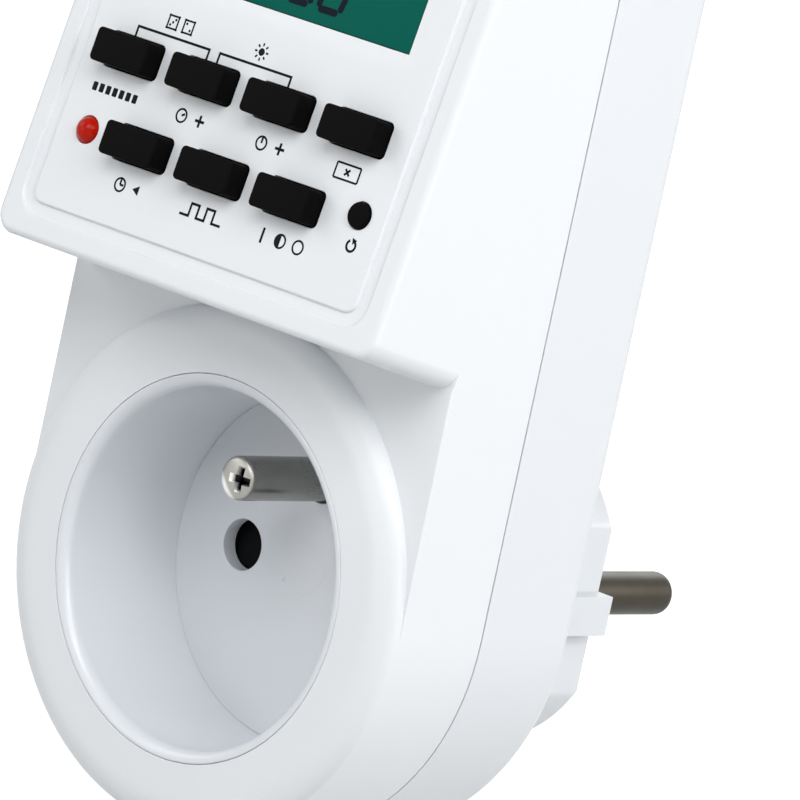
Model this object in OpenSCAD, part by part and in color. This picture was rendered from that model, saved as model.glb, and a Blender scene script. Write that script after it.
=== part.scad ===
// Plug-in weekly timer switch for a type E outlet, in millimetres.
// X runs to the right seen from the front, Y runs back into the wall and Z runs up.
// The origin lies on the plug's engagement face, midway between its two round pins.
// Depths are counted forwards from that face, so a depth d lies at Y = -d.

/* [Body] */
// Width of the housing, and the diameter of its round lower end
body_w = 56.4; // [56:0.2:62]
// Wall thickness of both shells
wall = 2; // [1.6:0.1:2.4]
// Radius of the two top corners
corner_r = 4; // [3:0.5:6]
// Depth of the rear shell, from its back face to the seam
rear_depth = 14.6; // [14:0.2:18]
// Depth of the front shell, from the seam to the lower front face
front_depth = 12.9; // [11:0.1:16]
// Gap along the seam between the two shells
seam_gap = 0.1; // [0.05:0.05:0.3]

/* [Head] */
// Backward lean of the control panel in degrees
tilt = 11.4; // [8:0.2:14]
// Length of the control panel along its slope
panel_len = 60; // [58:0.5:70]
// Height of the panel's lower edge above the socket centre
head_z = 29.9; // [29.5:0.1:36]
// How far that edge stands ahead of the lower front face
head_reach = 13.9; // [12:0.1:18]
// Drop of the head's underside from that edge back to the lower front face
under_drop = 3; // [0.5:0.1:3]
// Radius of the head's two lower corners
head_corner_r = 2.5; // [1:0.1:3]

/* [Panel groove] */
// Distance of the border groove from the panel's edges
groove_inset = 2.6; // [1.6:0.1:2.6]
// Width of the border groove
groove_w = 1.5; // [0.8:0.1:1.6]
// Depth of the border groove
groove_deep = 0.4; // [0.2:0.1:0.8]
// Outer corner radius of the border groove
groove_r = 3; // [1.8:0.2:4]

/* [Display] */
// Visible width of the display
lcd_w = 37.8; // [32:0.2:38]
// Visible height of the display
lcd_h = 18.2; // [15:0.2:18.6]
// Height of the display's lower edge above the panel's lower edge
lcd_b = 31.3; // [31:0.1:32]
// Depth of the sloping dish around the display
dish_deep = 0.7; // [0.4:0.1:1]
// Width of the dish's slope
dish_w = 2; // [1:0.1:2.2]
// Thickness of the clear window behind the dish
window_t = 0.9; // [0.6:0.1:1]
// Thickness of the liquid crystal glass
glass_t = 1.8; // [1.4:0.1:2]
// Margin of the glass beyond the visible display
glass_margin = 1; // [0.8:0.1:1.1]

/* [Keys] */
// Width of a key
key_w = 7.7; // [6:0.1:8.4]
// Height of a key along the panel
key_h = 3.7; // [3:0.1:4.4]
// How far a key stands out of the panel
key_rise = 2.5; // [1.5:0.1:3.5]
// Distance between neighbouring keys
key_pitch = 11.25; // [11:0.05:11.6]
// Height of the upper key row above the panel's lower edge
row_high = 22.1; // [21.8:0.1:22.6]
// Height of the lower key row above the panel's lower edge
row_low = 13.1; // [12.6:0.1:13.4]
// Travel of a key
key_travel = 0.9; // [0.5:0.1:1]
// Clearance between a key and its hole
key_gap = 0.15; // [0.1:0.01:0.3]

/* [Reset and lamp] */
// Diameter of the reset button
reset_d = 2.8; // [2:0.1:3.2]
// Sideways place of the reset button
reset_x = 20.5; // [20:0.1:21]
// Height of the reset button above the panel's lower edge
reset_b = 14; // [13.5:0.1:14.5]
// How far the reset button stands out
reset_rise = 0.5; // [0.2:0.1:1]
// Travel of the reset button
reset_travel = 0.35; // [0.2:0.05:0.5]
// Diameter of the status lamp
led_d = 3; // [2.4:0.1:3.2]
// Sideways place of the status lamp
led_x = -19.7; // [-20.2:0.1:-19.5]
// Height of the status lamp above the panel's lower edge
led_b = 13.1; // [12.6:0.1:13.6]
// How far the lamp's dome stands out
led_rise = 1; // [0.5:0.1:1.5]

/* [Socket] */
// Diameter of the recess at its mouth
mouth_d = 39; // [38.6:0.1:39.6]
// Depth of the recess below the ring's face
recess_deep = 17; // [15:0.1:17.4]
// Wall thickness of the socket cup
cup_wall = 1.2; // [1:0.1:1.5]
// Thickness of the recess floor
floor_t = 1.9; // [1.5:0.1:2.5]
// Gap between the cup's lip and the ring
lip_gap = 0.1; // [0.05:0.05:0.3]
// Radius of the cup's rounded lip
lip_r = 1; // [0.5:0.1:1.1]
// How far the ring stands ahead of the lower front face
ring_rise = 2.1; // [1:0.1:3]
// Width of the ring's rounded shoulder
ring_shoulder = 3.7; // [2:0.1:4.5]
// Diameter of the holes for the plug's pins
hole_d = 5.6; // [5.2:0.1:6]
// Distance between the two pin holes, and between the two plug pins
pin_pitch = 19; // [18.8:0.1:19.2]
// Height of the earth pin above the pin holes
earth_z = 10; // [9.8:0.1:10.2]
// Length of the earth pin above the recess floor
earth_len = 14; // [13:0.1:14.5]

/* [Plug] */
// Diameter of the plug pins and the earth pin
pin_d = 4.8; // [4.7:0.05:4.9]
// Length of the plug pins beyond the engagement face
pin_len = 19; // [18:0.5:19]
// Length of the plug's round boss behind the housing
boss_len = 17; // [16:0.5:18]
// Diameter of the boss
boss_d = 37.7; // [37.2:0.1:38]
// Width of the boss across its two side flats
boss_flat_w = 33; // [33:0.1:34]
// How far a side rib stands out of its flat
rib_out = 2.2; // [1:0.1:2.4]
// Height of a side rib
rib_h = 4.4; // [3:0.1:6]
// Thickness of the boss's end wall
end_wall = 3; // [2.4:0.1:3.2]
// Radius of the bore for the outlet's earth pin
earth_bore_r = 2.45; // [2.42:0.01:2.5]
// Depth of that bore
earth_bore_len = 14; // [13:0.5:15]

/* [Shutter] */
// Thickness of the safety shutter
shutter_t = 1.8; // [1.4:0.1:2]
// Width and height of each shutter vane
vane = 7.2; // [6.8:0.1:7.2]
// Travel of the shutter
shutter_travel = 6.6; // [6.5:0.1:6.8]
// Outer diameter of the return spring
spring_d = 2.8; // [2.4:0.1:3]
// Wire diameter of the return spring
spring_wire = 0.35; // [0.25:0.05:0.4]
// Turns of the return spring
spring_turns = 7; // [5:1:9]

/* [Electronics] */
// Thickness of the control circuit board
logic_t = 1.2; // [1:0.1:1.6]
// Gap between the panel's inner face and the control board
logic_drop = 3.6; // [3.5:0.1:4]
// Thickness of the rubber keypad's sheet
mat_t = 1; // [0.6:0.1:1.2]
// Thickness of the power circuit board
power_t = 1.6; // [1.2:0.1:1.6]
// Height of the posts that carry the power board
power_post = 2; // [1.5:0.1:2.5]
// Height of the power board's lower edge
power_z = 33; // [32:0.5:34]
// Width of the power board
power_w = 46; // [44:0.5:48]
// Diameter of the wires
wire_d = 2; // [1.4:0.1:2.2]

/* [Fasteners] */
// Shank diameter of the housing screws
screw_d = 3; // [2.5:0.1:3.2]
// Head diameter of the housing screws
screw_head_d = 5; // [4.8:0.1:5.2]
// Shank diameter of the circuit board screws
small_screw_d = 2; // [1.6:0.1:2.2]
// Radial clearance of a screw in its hole
screw_gap = 0.05; // [0.02:0.01:0.1]

/* [Hidden] */

$fn = 64;
part_fn = 32;      // facets of small curved sections
touch = 0.01;      // overlap that joins two volumes of one solid

// Radii and planes of the housing
body_r = body_w / 2;
seam_d = boss_len + rear_depth;
low_front_d = seam_d + front_depth;
ring_d = low_front_d + ring_rise;
rear_inner_d = boss_len + wall;
panel_d = low_front_d + head_reach;
under_z = head_z - under_drop;
body_top = head_z + panel_len * cos(tilt);
panel_top_d = panel_d - panel_len * sin(tilt);

// Socket
mouth_r = mouth_d / 2;
cup_r = mouth_r + cup_wall;
floor_d = ring_d - recess_deep;
floor_back_d = floor_d - floor_t;
floor_r = mouth_r - 0.2;
flange_t = 1.5;
flange_r = cup_r + 2;
pin_r = pin_d / 2;
pin_x = pin_pitch / 2;
hole_r = hole_d / 2;

// Plug boss
boss_r = boss_d / 2;
boss_in_r = boss_r - wall;
flat_x = boss_flat_w / 2;
flat_in_x = flat_x - wall;
boss_in_z = 15;
boss_gap = 0.1;
boss_flange_r = boss_r + 1.6;
boss_flange_d = boss_len + wall / 2;
clip_w = 5;
clip_t = 0.6;
clip_gap = 0.15;
clip_floor_z = boss_in_z + wall;

// Pins and the earth path
shank_r = 1.5;
root_r = pin_r + 0.4;
pin_flange_r = pin_r + 1.6;
pin_flange_d = end_wall + 1.2;
tip_r = pin_r * 0.6;
crown_h = pin_r / 6;
crown_power = 2 / 3;
neck_len = 0.6;
neck_r = pin_r - 0.2;
collar_r = 3.6;
collar_t = 1.4;
sleeve_r = earth_bore_r + 0.8;
sleeve_end = 1.4;
cross_l = 3;
cross_w = 0.9;
cross_deep = 0.9;
cross_x = 0.6;

// Contact block and shutter
fit_gap = 0.15;
block_plate_r = floor_r - 0.3;
block_back_d = 10;
strip_d = block_back_d - clip_t - 0.05;
plate_t = 0.6;
leaf_gap = 5.2;
tab_x = pin_x + 1.9;
pocket_deep = shutter_t + 0.3;
bar_h = vane / 2;
shutter_gap = 0.2;
shutter_low = vane / 2 + shutter_travel;
spring_foot_z = shutter_low + 3.6;
spring_r = (spring_d - spring_wire) / 2;
spring_axis_d = floor_back_d - fit_gap - spring_d / 2;
notch_x0 = 7.2;
notch_x1 = flat_x;
notch_z = 7;

// Panel stack, as heights h above the panel's outer face
panel_in_h = -wall;
logic_h = panel_in_h - logic_drop;
mat_h = logic_h + mat_t;
key_flange_t = 1.1;
key_flange = 0.8;
key_foot_h = panel_in_h - key_flange_t;
window_h = -dish_deep;
window_flange = 1;
window_foot_h = panel_in_h - 0.6;
glass_top_h = window_foot_h - 0.05;
glass_foot_h = glass_top_h - glass_t;
glass_w = lcd_w + 2 * glass_margin;
glass_l = lcd_h + 2 * glass_margin;
frame_wall = 0.9;
frame_w = glass_w + 2 * (fit_gap + frame_wall);
frame_l = glass_l + 2 * (fit_gap + frame_wall);
lcd_mid_b = lcd_b + lcd_h / 2;
reset_flange_t = 0.8;
reset_foot_h = panel_in_h - reset_flange_t - 0.4;
key_corner = 0.5;
dome_r = 1.7;
dome_wall = 0.5;

// Key places on the panel: four in the upper row and three in the lower one
KEYS = concat([for (i = [-1.5 : 1 : 1.5]) [i * key_pitch, row_high]],
              [for (i = [-1 : 1 : 1]) [i * key_pitch, row_low]]);

// Control board and the parts on its back
logic_w = body_w - 2 * wall - 2.4;
logic_b0 = 5.4;
logic_b1 = lcd_mid_b + frame_l / 2 + 0.3;
small_r = small_screw_d / 2;
post_r = small_r + 0.9;
logic_hole_x = logic_w / 2 - post_r - 0.2;
logic_hole_b = [logic_b0 + post_r + 0.3,
                (row_high + key_h / 2 + key_flange + lcd_mid_b - frame_l / 2) / 2];

board_back_h = logic_h - logic_t;
chip_w = 10;
battery_d = 15.4;
battery_t = 5.6;
battery_x = 11;
battery_b = lcd_mid_b;
tab_t = 0.3;

// Power board
power_d = rear_inner_d + power_post;
power_front_d = power_d + power_t;
power_hole_x = power_w / 2 - 3;

// Relay, with u along X, w along Z and v away from the power board
relay_u = 19;
relay_w = 15.4;
relay_v = 15.4;
relay_x = -10.6;
relay_z = power_z + 15;
relay_wall = 0.8;
relay_base_t = 1.5;
coil_u = -2.2;
coil_r = 4.2;
core_r = 2;
core_v = 11.2;
yoke_t = 1.2;
yoke_u = -relay_u / 2 + relay_wall + 0.3;
armature_gap = 0.45;
armature_t = 1;
armature_v = core_v + armature_gap;
armature_end_u = coil_u + coil_r + 0.4;
hinge_u = yoke_u + yoke_t / 2;
armature_swing = 3.2;
blade_t = 0.3;
blade_end_u = 7.4;
contact_u = 6.2;
rivet_r = 1;
rivet_t = 0.8;
fixed_top_v = armature_v + armature_t - rivet_t
              - (contact_u + rivet_r - hinge_u) * sin(armature_swing) - 0.05;

// Parts on the power board
ribbon_t = 0.8;
film_u = 18;
film_v = 11;
film_w = 6.5;
film_z = relay_z + relay_w / 2 + ribbon_t + 2.5;
can_r = 4;
can_h = 12;
can_x = 7;
can_z = film_z + 1;
part_x = 4;
part_gap = 0.05;
diode_r = 1.25;
diode_len = 5;
diode_pitch = 3.2;
diode_z = power_z + 8;
resistor_r = 1.15;
resistor_len = 6.4;
resistor_pitch = 3.4;
resistor_z = diode_z + diode_len + 3;
fuse_r = 4.1;
fuse_h = 8;
fuse_x = 5;
fuse_z = can_z + can_r + fuse_r + 3.4;
varistor_r = 4;
varistor_t = 3.4;
varistor_x = 15;
drive_r = 2.3;
drive_h = 4.6;
drive_x = 18;

// Wires and ribbon cable
wire_r = wire_d / 2;
wire_gap = 0.3;
solder_z = power_z + 2.5;
ribbon_w = 10;

// Housing screws
screw_r = screw_d / 2;
screw_head_r = screw_head_d / 2;
screw_head_t = 2.2;
screw_post_r = 2.5;
screw_boss_r = screw_head_r + 1.3;
screw_seat_d = rear_inner_d + 4.4;
screw_len = 14;
screw_low = [body_r - wall - screw_boss_r - 0.1, 20.4];
screw_high = [body_r - wall - screw_boss_r - 0.1, body_top - wall - screw_boss_r - 0.1];

power_top = screw_high[1] - screw_boss_r - 1;
power_hole_z = [power_z + 3, power_top - 3];

// ---------------------------------------------------------------- helpers

// Extrudes an outline drawn in X and Z from depth d0 forwards to depth d1.
module slab(d0, d1) {
    translate([0, -d0, 0]) rotate([90, 0, 0]) linear_extrude(d1 - d0) children();
}

// A round bar along Y from depth d0 forwards to depth d1.
module rod(d0, d1, r, x = 0, z = 0) {
    translate([x, -d0, z]) rotate([90, 0, 0]) cylinder(h = d1 - d0, r = r);
}

// Turns a profile of radius and depth about the socket's axis.
module turned() {
    rotate([90, 0, 0]) rotate_extrude($fn = 96) children();
}

// Extrudes an outline drawn in depth and height across the width w.
module side_slab(w) {
    translate([-w / 2, 0, 0]) rotate([90, 0, 90]) linear_extrude(w) mirror([1, 0]) children();
}

// A box between two depths, centred on x and reaching from z0 to z1.
module block(d0, d1, w, z0, z1, x = 0) {
    translate([x - w / 2, -d1, z0]) cube([w, d1 - d0, z1 - z0]);
}

// Places children on the sloping panel: x across, y up the slope, z outwards.
module on_panel() {
    translate([0, -panel_d, head_z]) rotate([90 - tilt, 0, 0]) children();
}

// Extrudes an outline on the panel from height h0 to height h1.
module panel_slab(h0, h1) {
    on_panel() translate([0, 0, h0]) linear_extrude(h1 - h0) children();
}

// A plain box on the panel, centred on x and on b.
module panel_box(x, b, w, l, h0, h1) {
    on_panel() translate([x - w / 2, b - l / 2, h0]) cube([w, l, h1 - h0]);
}

// A rectangle with round corners, centred on the origin.
module round_rect(w, l, r) {
    square([w - 2 * r, l], center = true);
    square([w, l - 2 * r], center = true);
    for (sx = [-1, 1], sy = [-1, 1])
        translate([sx * (w / 2 - r), sy * (l / 2 - r)]) circle(r, $fn = part_fn);
}

// The housing's front outline, drawn inwards by inset.
module body_outline(inset = 0) {
    r = corner_r - min(inset, corner_r - 1);
    circle(body_r - inset, $fn = 96);
    translate([-body_r + inset, 0]) square([body_w - 2 * inset, body_top - inset - r]);
    translate([-body_r + inset + r, 0]) square([body_w - 2 * (inset + r), body_top - inset]);
    for (side = [-1, 1])
        translate([side * (body_r - inset - r), body_top - inset - r]) circle(r, $fn = part_fn);
}

// The head's side profile in depth and height, from the seam forwards.
module head_profile() {
    polygon([[seam_d, under_z], [low_front_d, under_z], [panel_d, head_z],
             [panel_top_d, body_top], [seam_d, body_top]]);
}

// A point on the panel at slope distance b and height h, as depth and height above the socket.
function panel_point(b, h) =
    [panel_d - b * sin(tilt) + h * cos(tilt), head_z + b * cos(tilt) + h * sin(tilt)];

// The slope distance at which the panel stack at height h reaches the level z.
function panel_b(z, h) = (z - head_z - h * sin(tilt)) / cos(tilt);

// The hollow of the head, one wall inside its profile.
module head_hollow() {
    top_z = body_top - wall;
    polygon([[seam_d - touch, under_z - 1], [low_front_d - wall, under_z - 1],
             [low_front_d - wall, under_z + wall], panel_point(wall, -wall), panel_point(panel_b(top_z, -wall), -wall),
             [seam_d - touch, top_z]]);
}

// The plug boss's outline: a circle with two flat sides.
module boss_outline(r, x) {
    intersection() {
        circle(r, $fn = 96);
        square([2 * x, 2 * r + 1], center = true);
    }
}

// A wire of round section through the listed points, which never run along the side vector.
module wire(path, r, side = [1, 0, 0]) {
    sides = 8;
    last = len(path) - 1;
    ring = [for (i = [0 : last])
        let (a = path[max(i - 1, 0)], b = path[min(i + 1, last)],
             t = (b - a) / norm(b - a),
             u = cross(t, side) / norm(cross(t, side)), v = cross(t, u))
        for (k = [0 : sides - 1])
            path[i] + r * (cos(k * 360 / sides) * u + sin(k * 360 / sides) * v)];
    side_faces = [for (i = [0 : last - 1], k = [0 : sides - 1], half = [0, 1])
        let (a = i * sides + k, b = i * sides + (k + 1) % sides)
        half == 0 ? [a, a + sides, b + sides] : [a, b + sides, b]];
    start = [for (k = [0 : sides - 1]) k];
    end = [for (k = [sides - 1 : -1 : 0]) last * sides + k];
    polyhedron(ring, concat(side_faces, [start, end]));
}

// Rounds the corners of a list of points with short quadratic bends.
function bend(points, reach, steps = 4) = concat([points[0]],
    [for (i = [1 : len(points) - 2], k = [0 : steps])
        let (p = points[i], a = points[i - 1] - p, b = points[i + 1] - p, t = k / steps,
             start = p + reach * a / norm(a), end = p + reach * b / norm(b))
        (1 - t) * (1 - t) * start + 2 * t * (1 - t) * p + t * t * end],
    [points[len(points) - 1]]);

// ---------------------------------------------------------------- housing

// Cutter for the sloping dish around the display.
module dish_cut() {
    w = lcd_w / 2;
    l = lcd_h / 2;
    on_panel() translate([0, lcd_mid_b, 0]) intersection() {
        rotate([90, 0, 0]) translate([0, 0, -l - dish_w - 1]) linear_extrude(2 * (l + dish_w + 1))
            polygon([[-w, -dish_deep], [w, -dish_deep], [w + dish_w, 0], [w + dish_w, 1],
                     [-w - dish_w, 1], [-w - dish_w, 0]]);
        rotate([90, 0, 90]) translate([0, 0, -w - dish_w - 1]) linear_extrude(2 * (w + dish_w + 1))
            polygon([[-l, -dish_deep], [l, -dish_deep], [l + dish_w, 0], [l + dish_w, 1],
                     [-l - dish_w, 1], [-l - dish_w, 0]]);
    }
}

// Every cut that the panel takes: groove, display, keys, lamp and reset button.
module panel_cuts() {
    through = wall + 1;
    groove_l = panel_len - 2 * groove_inset;
    panel_slab(-groove_deep, 1) translate([0, panel_len / 2]) difference() {
        round_rect(body_w - 2 * groove_inset, groove_l, groove_r);
        round_rect(body_w - 2 * (groove_inset + groove_w), groove_l - 2 * groove_w,
                   groove_r - groove_w);
    }
    dish_cut();
    panel_box(0, lcd_mid_b, lcd_w, lcd_h, -through, 0);
    for (key = KEYS)
        panel_slab(-through, 1) translate(key)
            round_rect(key_w + 2 * key_gap, key_h + 2 * key_gap, key_corner + key_gap);
    on_panel() {
        translate([led_x, led_b, -through]) cylinder(h = through + 1, r = led_d / 2 + 0.05);
        translate([reset_x, reset_b, -through]) cylinder(h = through + 1, r = reset_d / 2 + 0.1);
    }
}

// The rounded ring around the socket's mouth, as radius and depth.
module ring_profile() {
    inner = cup_r + lip_gap;
    polygon(concat([[inner, low_front_d - wall], [inner, ring_d]],
        [for (a = [0 : 10 : 90])
            [body_r - ring_shoulder * (1 - sin(a)), low_front_d + ring_rise * cos(a)]],
        [[body_r, low_front_d - wall]]));
}

// Rounds the head's two lower corners along its sloping underside.
module head_corner_cut() {
    r = head_corner_r;
    reach = head_reach + 3;
    slope = atan2(under_drop, head_reach);
    for (side = [-1, 1])
        translate([side * (body_r - r), -low_front_d, under_z]) rotate([-slope, 0, 0])
            difference() {
                translate([side > 0 ? 0 : -r - 1, -reach, -1]) cube([r + 1, reach, r + 1]);
                translate([0, 1, r]) rotate([90, 0, 0]) cylinder(h = reach + 2, r = r + 0.02);
            }
}

// Posts that take the housing screws: the lower ones stand on the front wall, and the
// upper ones are tied to the corners of the side and top walls.
module front_posts() {
    end = screw_seat_d + screw_len + 1.6;
    tie = body_r - wall / 2 - screw_high[0];
    for (side = [-1, 1]) {
        rod(seam_d, low_front_d - touch, screw_post_r, side * screw_low[0], screw_low[1]);
        rod(seam_d, end, screw_post_r, side * screw_high[0], screw_high[1]);
        block(seam_d, end, tie, screw_high[1], body_top - wall / 2,
              side * (screw_high[0] + tie / 2));
    }
}

// Short posts behind the panel that carry the control board.
module logic_posts() {
    for (side = [-1, 1], b = logic_hole_b)
        on_panel() translate([side * logic_hole_x, b, logic_h]) difference() {
            cylinder(h = logic_drop + touch, r = post_r);
            translate([0, 0, -1]) cylinder(h = logic_drop, r = small_r + screw_gap);
        }
}

module front_shell() {
    color("white") {
        difference() {
            union() {
                difference() {
                    slab(seam_d, low_front_d) body_outline();
                    slab(seam_d - 1, low_front_d - wall) body_outline(wall);
                }
                intersection() {
                    side_slab(body_w) head_profile();
                    slab(seam_d, panel_d + 1) body_outline();
                }
                turned() ring_profile();
            }
            head_corner_cut();
            intersection() {
                side_slab(body_w - 2 * wall) head_hollow();
                slab(seam_d - 1, panel_d + 1) body_outline(wall);
            }
            rod(seam_d, ring_d + 1, cup_r + lip_gap);
            panel_cuts();
        }
        difference() {
            intersection() {
                front_posts();
                slab(seam_d, panel_d + 1) body_outline(wall / 2);
            }
            front_posts_bores();
        }
        logic_posts();
    }
}

// Pilot bores of the housing screws.
module front_posts_bores() {
    for (side = [-1, 1], at = [screw_low, screw_high])
        rod(seam_d - 1, screw_seat_d + screw_len + 1, screw_r + screw_gap, side * at[0], at[1]);
}

module rear_shell() {
    color("white") difference() {
        union() {
            difference() {
                slab(boss_len, seam_d - seam_gap) body_outline();
                slab(rear_inner_d, seam_d + 1) body_outline(wall);
            }
            for (side = [-1, 1], at = [screw_low, screw_high])
                rod(rear_inner_d - touch, seam_d, screw_boss_r, side * at[0], at[1]);
            for (side = [-1, 1], z = power_hole_z)
                rod(rear_inner_d - touch, power_d, post_r, side * power_hole_x, z);
        }
        slab(boss_len - 1, rear_inner_d + 1) boss_outline(boss_r + boss_gap, flat_x + boss_gap);
        rod(boss_flange_d, rear_inner_d + 1, boss_flange_r + boss_gap);
        for (side = [-1, 1], at = [screw_low, screw_high]) {
            rod(boss_len - 1, screw_seat_d, screw_head_r + 0.2, side * at[0], at[1]);
            rod(boss_len, seam_d + 1, screw_r + screw_gap, side * at[0], at[1]);
        }
        for (side = [-1, 1], z = power_hole_z)
            rod(rear_inner_d - wall / 2, power_d + 1, small_r + screw_gap, side * power_hole_x, z);
    }
}

// ---------------------------------------------------------------- plug boss

// The hollow inside the plug boss.
module boss_hollow(gap = 0) {
    intersection() {
        boss_outline(boss_in_r - gap, flat_in_x - gap);
        square([body_w, 2 * (boss_in_z - gap)], center = true);
    }
}

// Recesses and slots for the earth clips, and bores for the pins and the earth sleeve.
module boss_cuts() {
    clip_z = clip_floor_z;
    for (side = [0, 1]) mirror([0, 0, side]) {
        block(-1, block_back_d + 3, clip_w + 2 * clip_gap, clip_z, boss_r + 1);
        block(strip_d - clip_gap, strip_d + clip_t + clip_gap, clip_w + 2 * clip_gap,
              boss_in_z - 1, clip_z + 1);
    }
    for (side = [-1, 1]) rod(-1, end_wall + 1, root_r + 0.05, side * pin_x, 0);
    rod(-1, end_wall + 1, sleeve_r + fit_gap, 0, earth_z);
}

// The plug's body, put through the rear shell from inside and held by its flange.
module plug_boss() {
    rib_d = boss_len - boss_gap;
    color("white") difference() {
        union() {
            slab(0, rear_inner_d) boss_outline(boss_r, flat_x);
            rod(boss_flange_d, rear_inner_d, boss_flange_r);
            for (side = [-1, 1])
                block(0, rib_d, rib_out + touch, -rib_h / 2, rib_h / 2,
                      side * (flat_x + rib_out / 2 - touch / 2));
        }
        slab(end_wall, seam_d) boss_hollow();
        boss_cuts();
    }
}

// ---------------------------------------------------------------- socket

// The cup's section as radius and depth, with its rounded lip and its rear flange.
module cup_profile() {
    flange_d = low_front_d - wall;
    polygon(concat([[0, floor_back_d], [0, floor_d], [floor_r, floor_d],
                    [mouth_r, ring_d - lip_r]],
        [for (a = [15 : 15 : 90]) [mouth_r + lip_r * (1 - cos(a)), ring_d - lip_r * (1 - sin(a))]],
        [[cup_r, ring_d], [cup_r, flange_d], [flange_r, flange_d],
         [flange_r, flange_d - flange_t], [cup_r, flange_d - flange_t], [cup_r, floor_back_d]]));
}

module socket_cup() {
    color("white") difference() {
        turned() cup_profile();
        for (side = [-1, 1]) rod(floor_back_d - 1, floor_d + 1, hole_r, side * pin_x, 0);
        rod(floor_back_d - 1, floor_d + 1, root_r + 0.05, 0, earth_z);
    }
}

// Room that one socket contact takes in the contact block.
module contact_room(side) {
    block(block_back_d - 1, floor_back_d + 1, leaf_gap + 2 * (plate_t + fit_gap),
          -hole_r - 0.6, hole_r + 0.6, side * pin_x);
}

module contact_block() {
    color("ivory") difference() {
        union() {
            slab(rear_inner_d + fit_gap, floor_back_d) circle(block_plate_r, $fn = 96);
            slab(block_back_d, rear_inner_d + fit_gap + touch) boss_hollow(fit_gap);
        }
        for (side = [-1, 1]) {
            contact_room(side);
            block(block_back_d - 1, floor_back_d + 1, notch_x1 - notch_x0, notch_z, boss_r + 1,
                  side * (notch_x0 + notch_x1) / 2);
        }
        block(floor_back_d - pocket_deep, floor_back_d + 1, pin_pitch + vane + 2 * shutter_gap,
              -shutter_low - shutter_gap, vane / 2 + shutter_gap);
        block(floor_back_d - spring_d - 2 * fit_gap, floor_back_d + 1, spring_d + 2 * shutter_gap,
              -spring_foot_z, -bar_h + 1);
        rod(block_back_d - 1, floor_back_d + 1, sleeve_r + fit_gap, 0, earth_z);
        rod(floor_back_d - collar_t - fit_gap, floor_back_d + 1, collar_r + fit_gap, 0, earth_z);
    }
}

// Two vanes joined by a bar, each vane with a ramp that a pin's round tip pushes aside.
module safety_shutter() {
    back = floor_back_d - fit_gap - shutter_t;
    front = floor_back_d - fit_gap;
    color("black") difference() {
        union() {
            for (side = [-1, 1])
                block(back, front, vane, -vane / 2, vane / 2, side * pin_x);
            block(back, front, pin_pitch, -bar_h, 0);
        }
        for (side = [-1, 1]) translate([side * pin_x, 0, 0]) side_slab(vane - 2)
            polygon([[front - shutter_t / 2, vane / 2], [front + 1, vane / 2],
                     [front + 1, -vane / 3], [front, -vane / 3]]);
    }
}

module shutter_spring() {
    steps = 10;
    top_z = -bar_h - spring_wire / 2;
    foot_z = -spring_foot_z + spring_wire / 2 + 0.05;
    count = spring_turns * steps;
    color("silver") wire([for (i = [0 : count])
        [spring_r * cos(i * 360 / steps), -spring_axis_d + spring_r * sin(i * 360 / steps),
         top_z + (foot_z - top_z) * i / count]], spring_wire / 2, [0, 0, 1]);
}

// A spring clip with two leaves that grip one pin of the plugged-in lamp or appliance.
module contact_clip(side) {
    leaf_front_d = floor_back_d - pocket_deep - 1;
    block(block_back_d - plate_t, block_back_d, leaf_gap + 2 * plate_t, -hole_r, hole_r,
          side * pin_x);
    for (leaf = [-1, 1])
        block(block_back_d - plate_t, leaf_front_d, plate_t, -hole_r, hole_r,
              side * pin_x + leaf * (leaf_gap + plate_t) / 2);
    block(block_back_d - plate_t, block_back_d, plate_t * 4, hole_r - touch, notch_z - 0.4,
          side * tab_x);
}

module live_contact() {
    color("goldenrod") contact_clip(1);
}

module neutral_contact() {
    color("goldenrod") difference() {
        contact_clip(-1);
        rod(0, floor_back_d, shank_r + 0.05, -pin_x, 0);
    }
}

// ---------------------------------------------------------------- plug and earth

// Outline of a pin's rounded end, from its side towards its axis.
function rounded_end(length) = [for (a = [0 : 15 : 90])
    [pin_r - tip_r * (1 - cos(a)), length - tip_r * (1 - sin(a))]];

// Outline of a pin's flatter, crowned end.
function crowned_end(length) = [for (a = [0 : 15 : 75])
    [pin_r * pow(cos(a), crown_power), length - crown_h * (1 - pow(sin(a), crown_power))]];

// A round pin from a foot at depth 0 backwards to y = length, with the given outline of its end.
module round_pin(length, end) {
    rotate([-90, 0, 0]) rotate_extrude($fn = 48)
        polygon(concat([[0, 0], [pin_r, 0]], end, [[0, length]]));
}

// A plug pin with its flange behind the end wall and its shank inside the boss.
module plug_pin(side, shank_end) {
    color("silver") translate([side * pin_x, 0, 0]) {
        translate([0, -touch, 0]) round_pin(pin_len + touch, rounded_end(pin_len + touch));
        rod(0, end_wall + touch, root_r);
        rod(end_wall, pin_flange_d, pin_flange_r);
        rod(pin_flange_d - touch, shank_end, shank_r);
    }
}

module plug_pin_left() {
    plug_pin(-1, block_back_d);
}

module plug_pin_right() {
    plug_pin(1, pin_flange_d + wire_d + 0.4);
}

// The earth pin of the socket, with a collar behind the floor and a narrow neck in the floor's
// hole. The cross recess in its crowned tip is struck a little off its axis.
module earth_pin() {
    tip_d = floor_d + earth_len;
    neck_d = floor_d - neck_len;
    shank_end = earth_bore_len + 0.1;
    color("silver") difference() {
        union() {
            translate([0, -floor_d, earth_z]) mirror([0, 1, 0])
                round_pin(earth_len, crowned_end(earth_len));
            rod(neck_d - touch, floor_d + touch, neck_r, 0, earth_z);
            rod(floor_back_d - touch, neck_d, root_r, 0, earth_z);
            rod(floor_back_d - collar_t, floor_back_d, collar_r, 0, earth_z);
            rod(shank_end, floor_back_d - collar_t + touch, shank_r, 0, earth_z);
        }
        for (turn = [0, 90])
            translate([cross_x, -tip_d, earth_z]) rotate([0, turn, 0])
                cube([cross_l, 2 * cross_deep, cross_w], center = true);
    }
}

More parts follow.
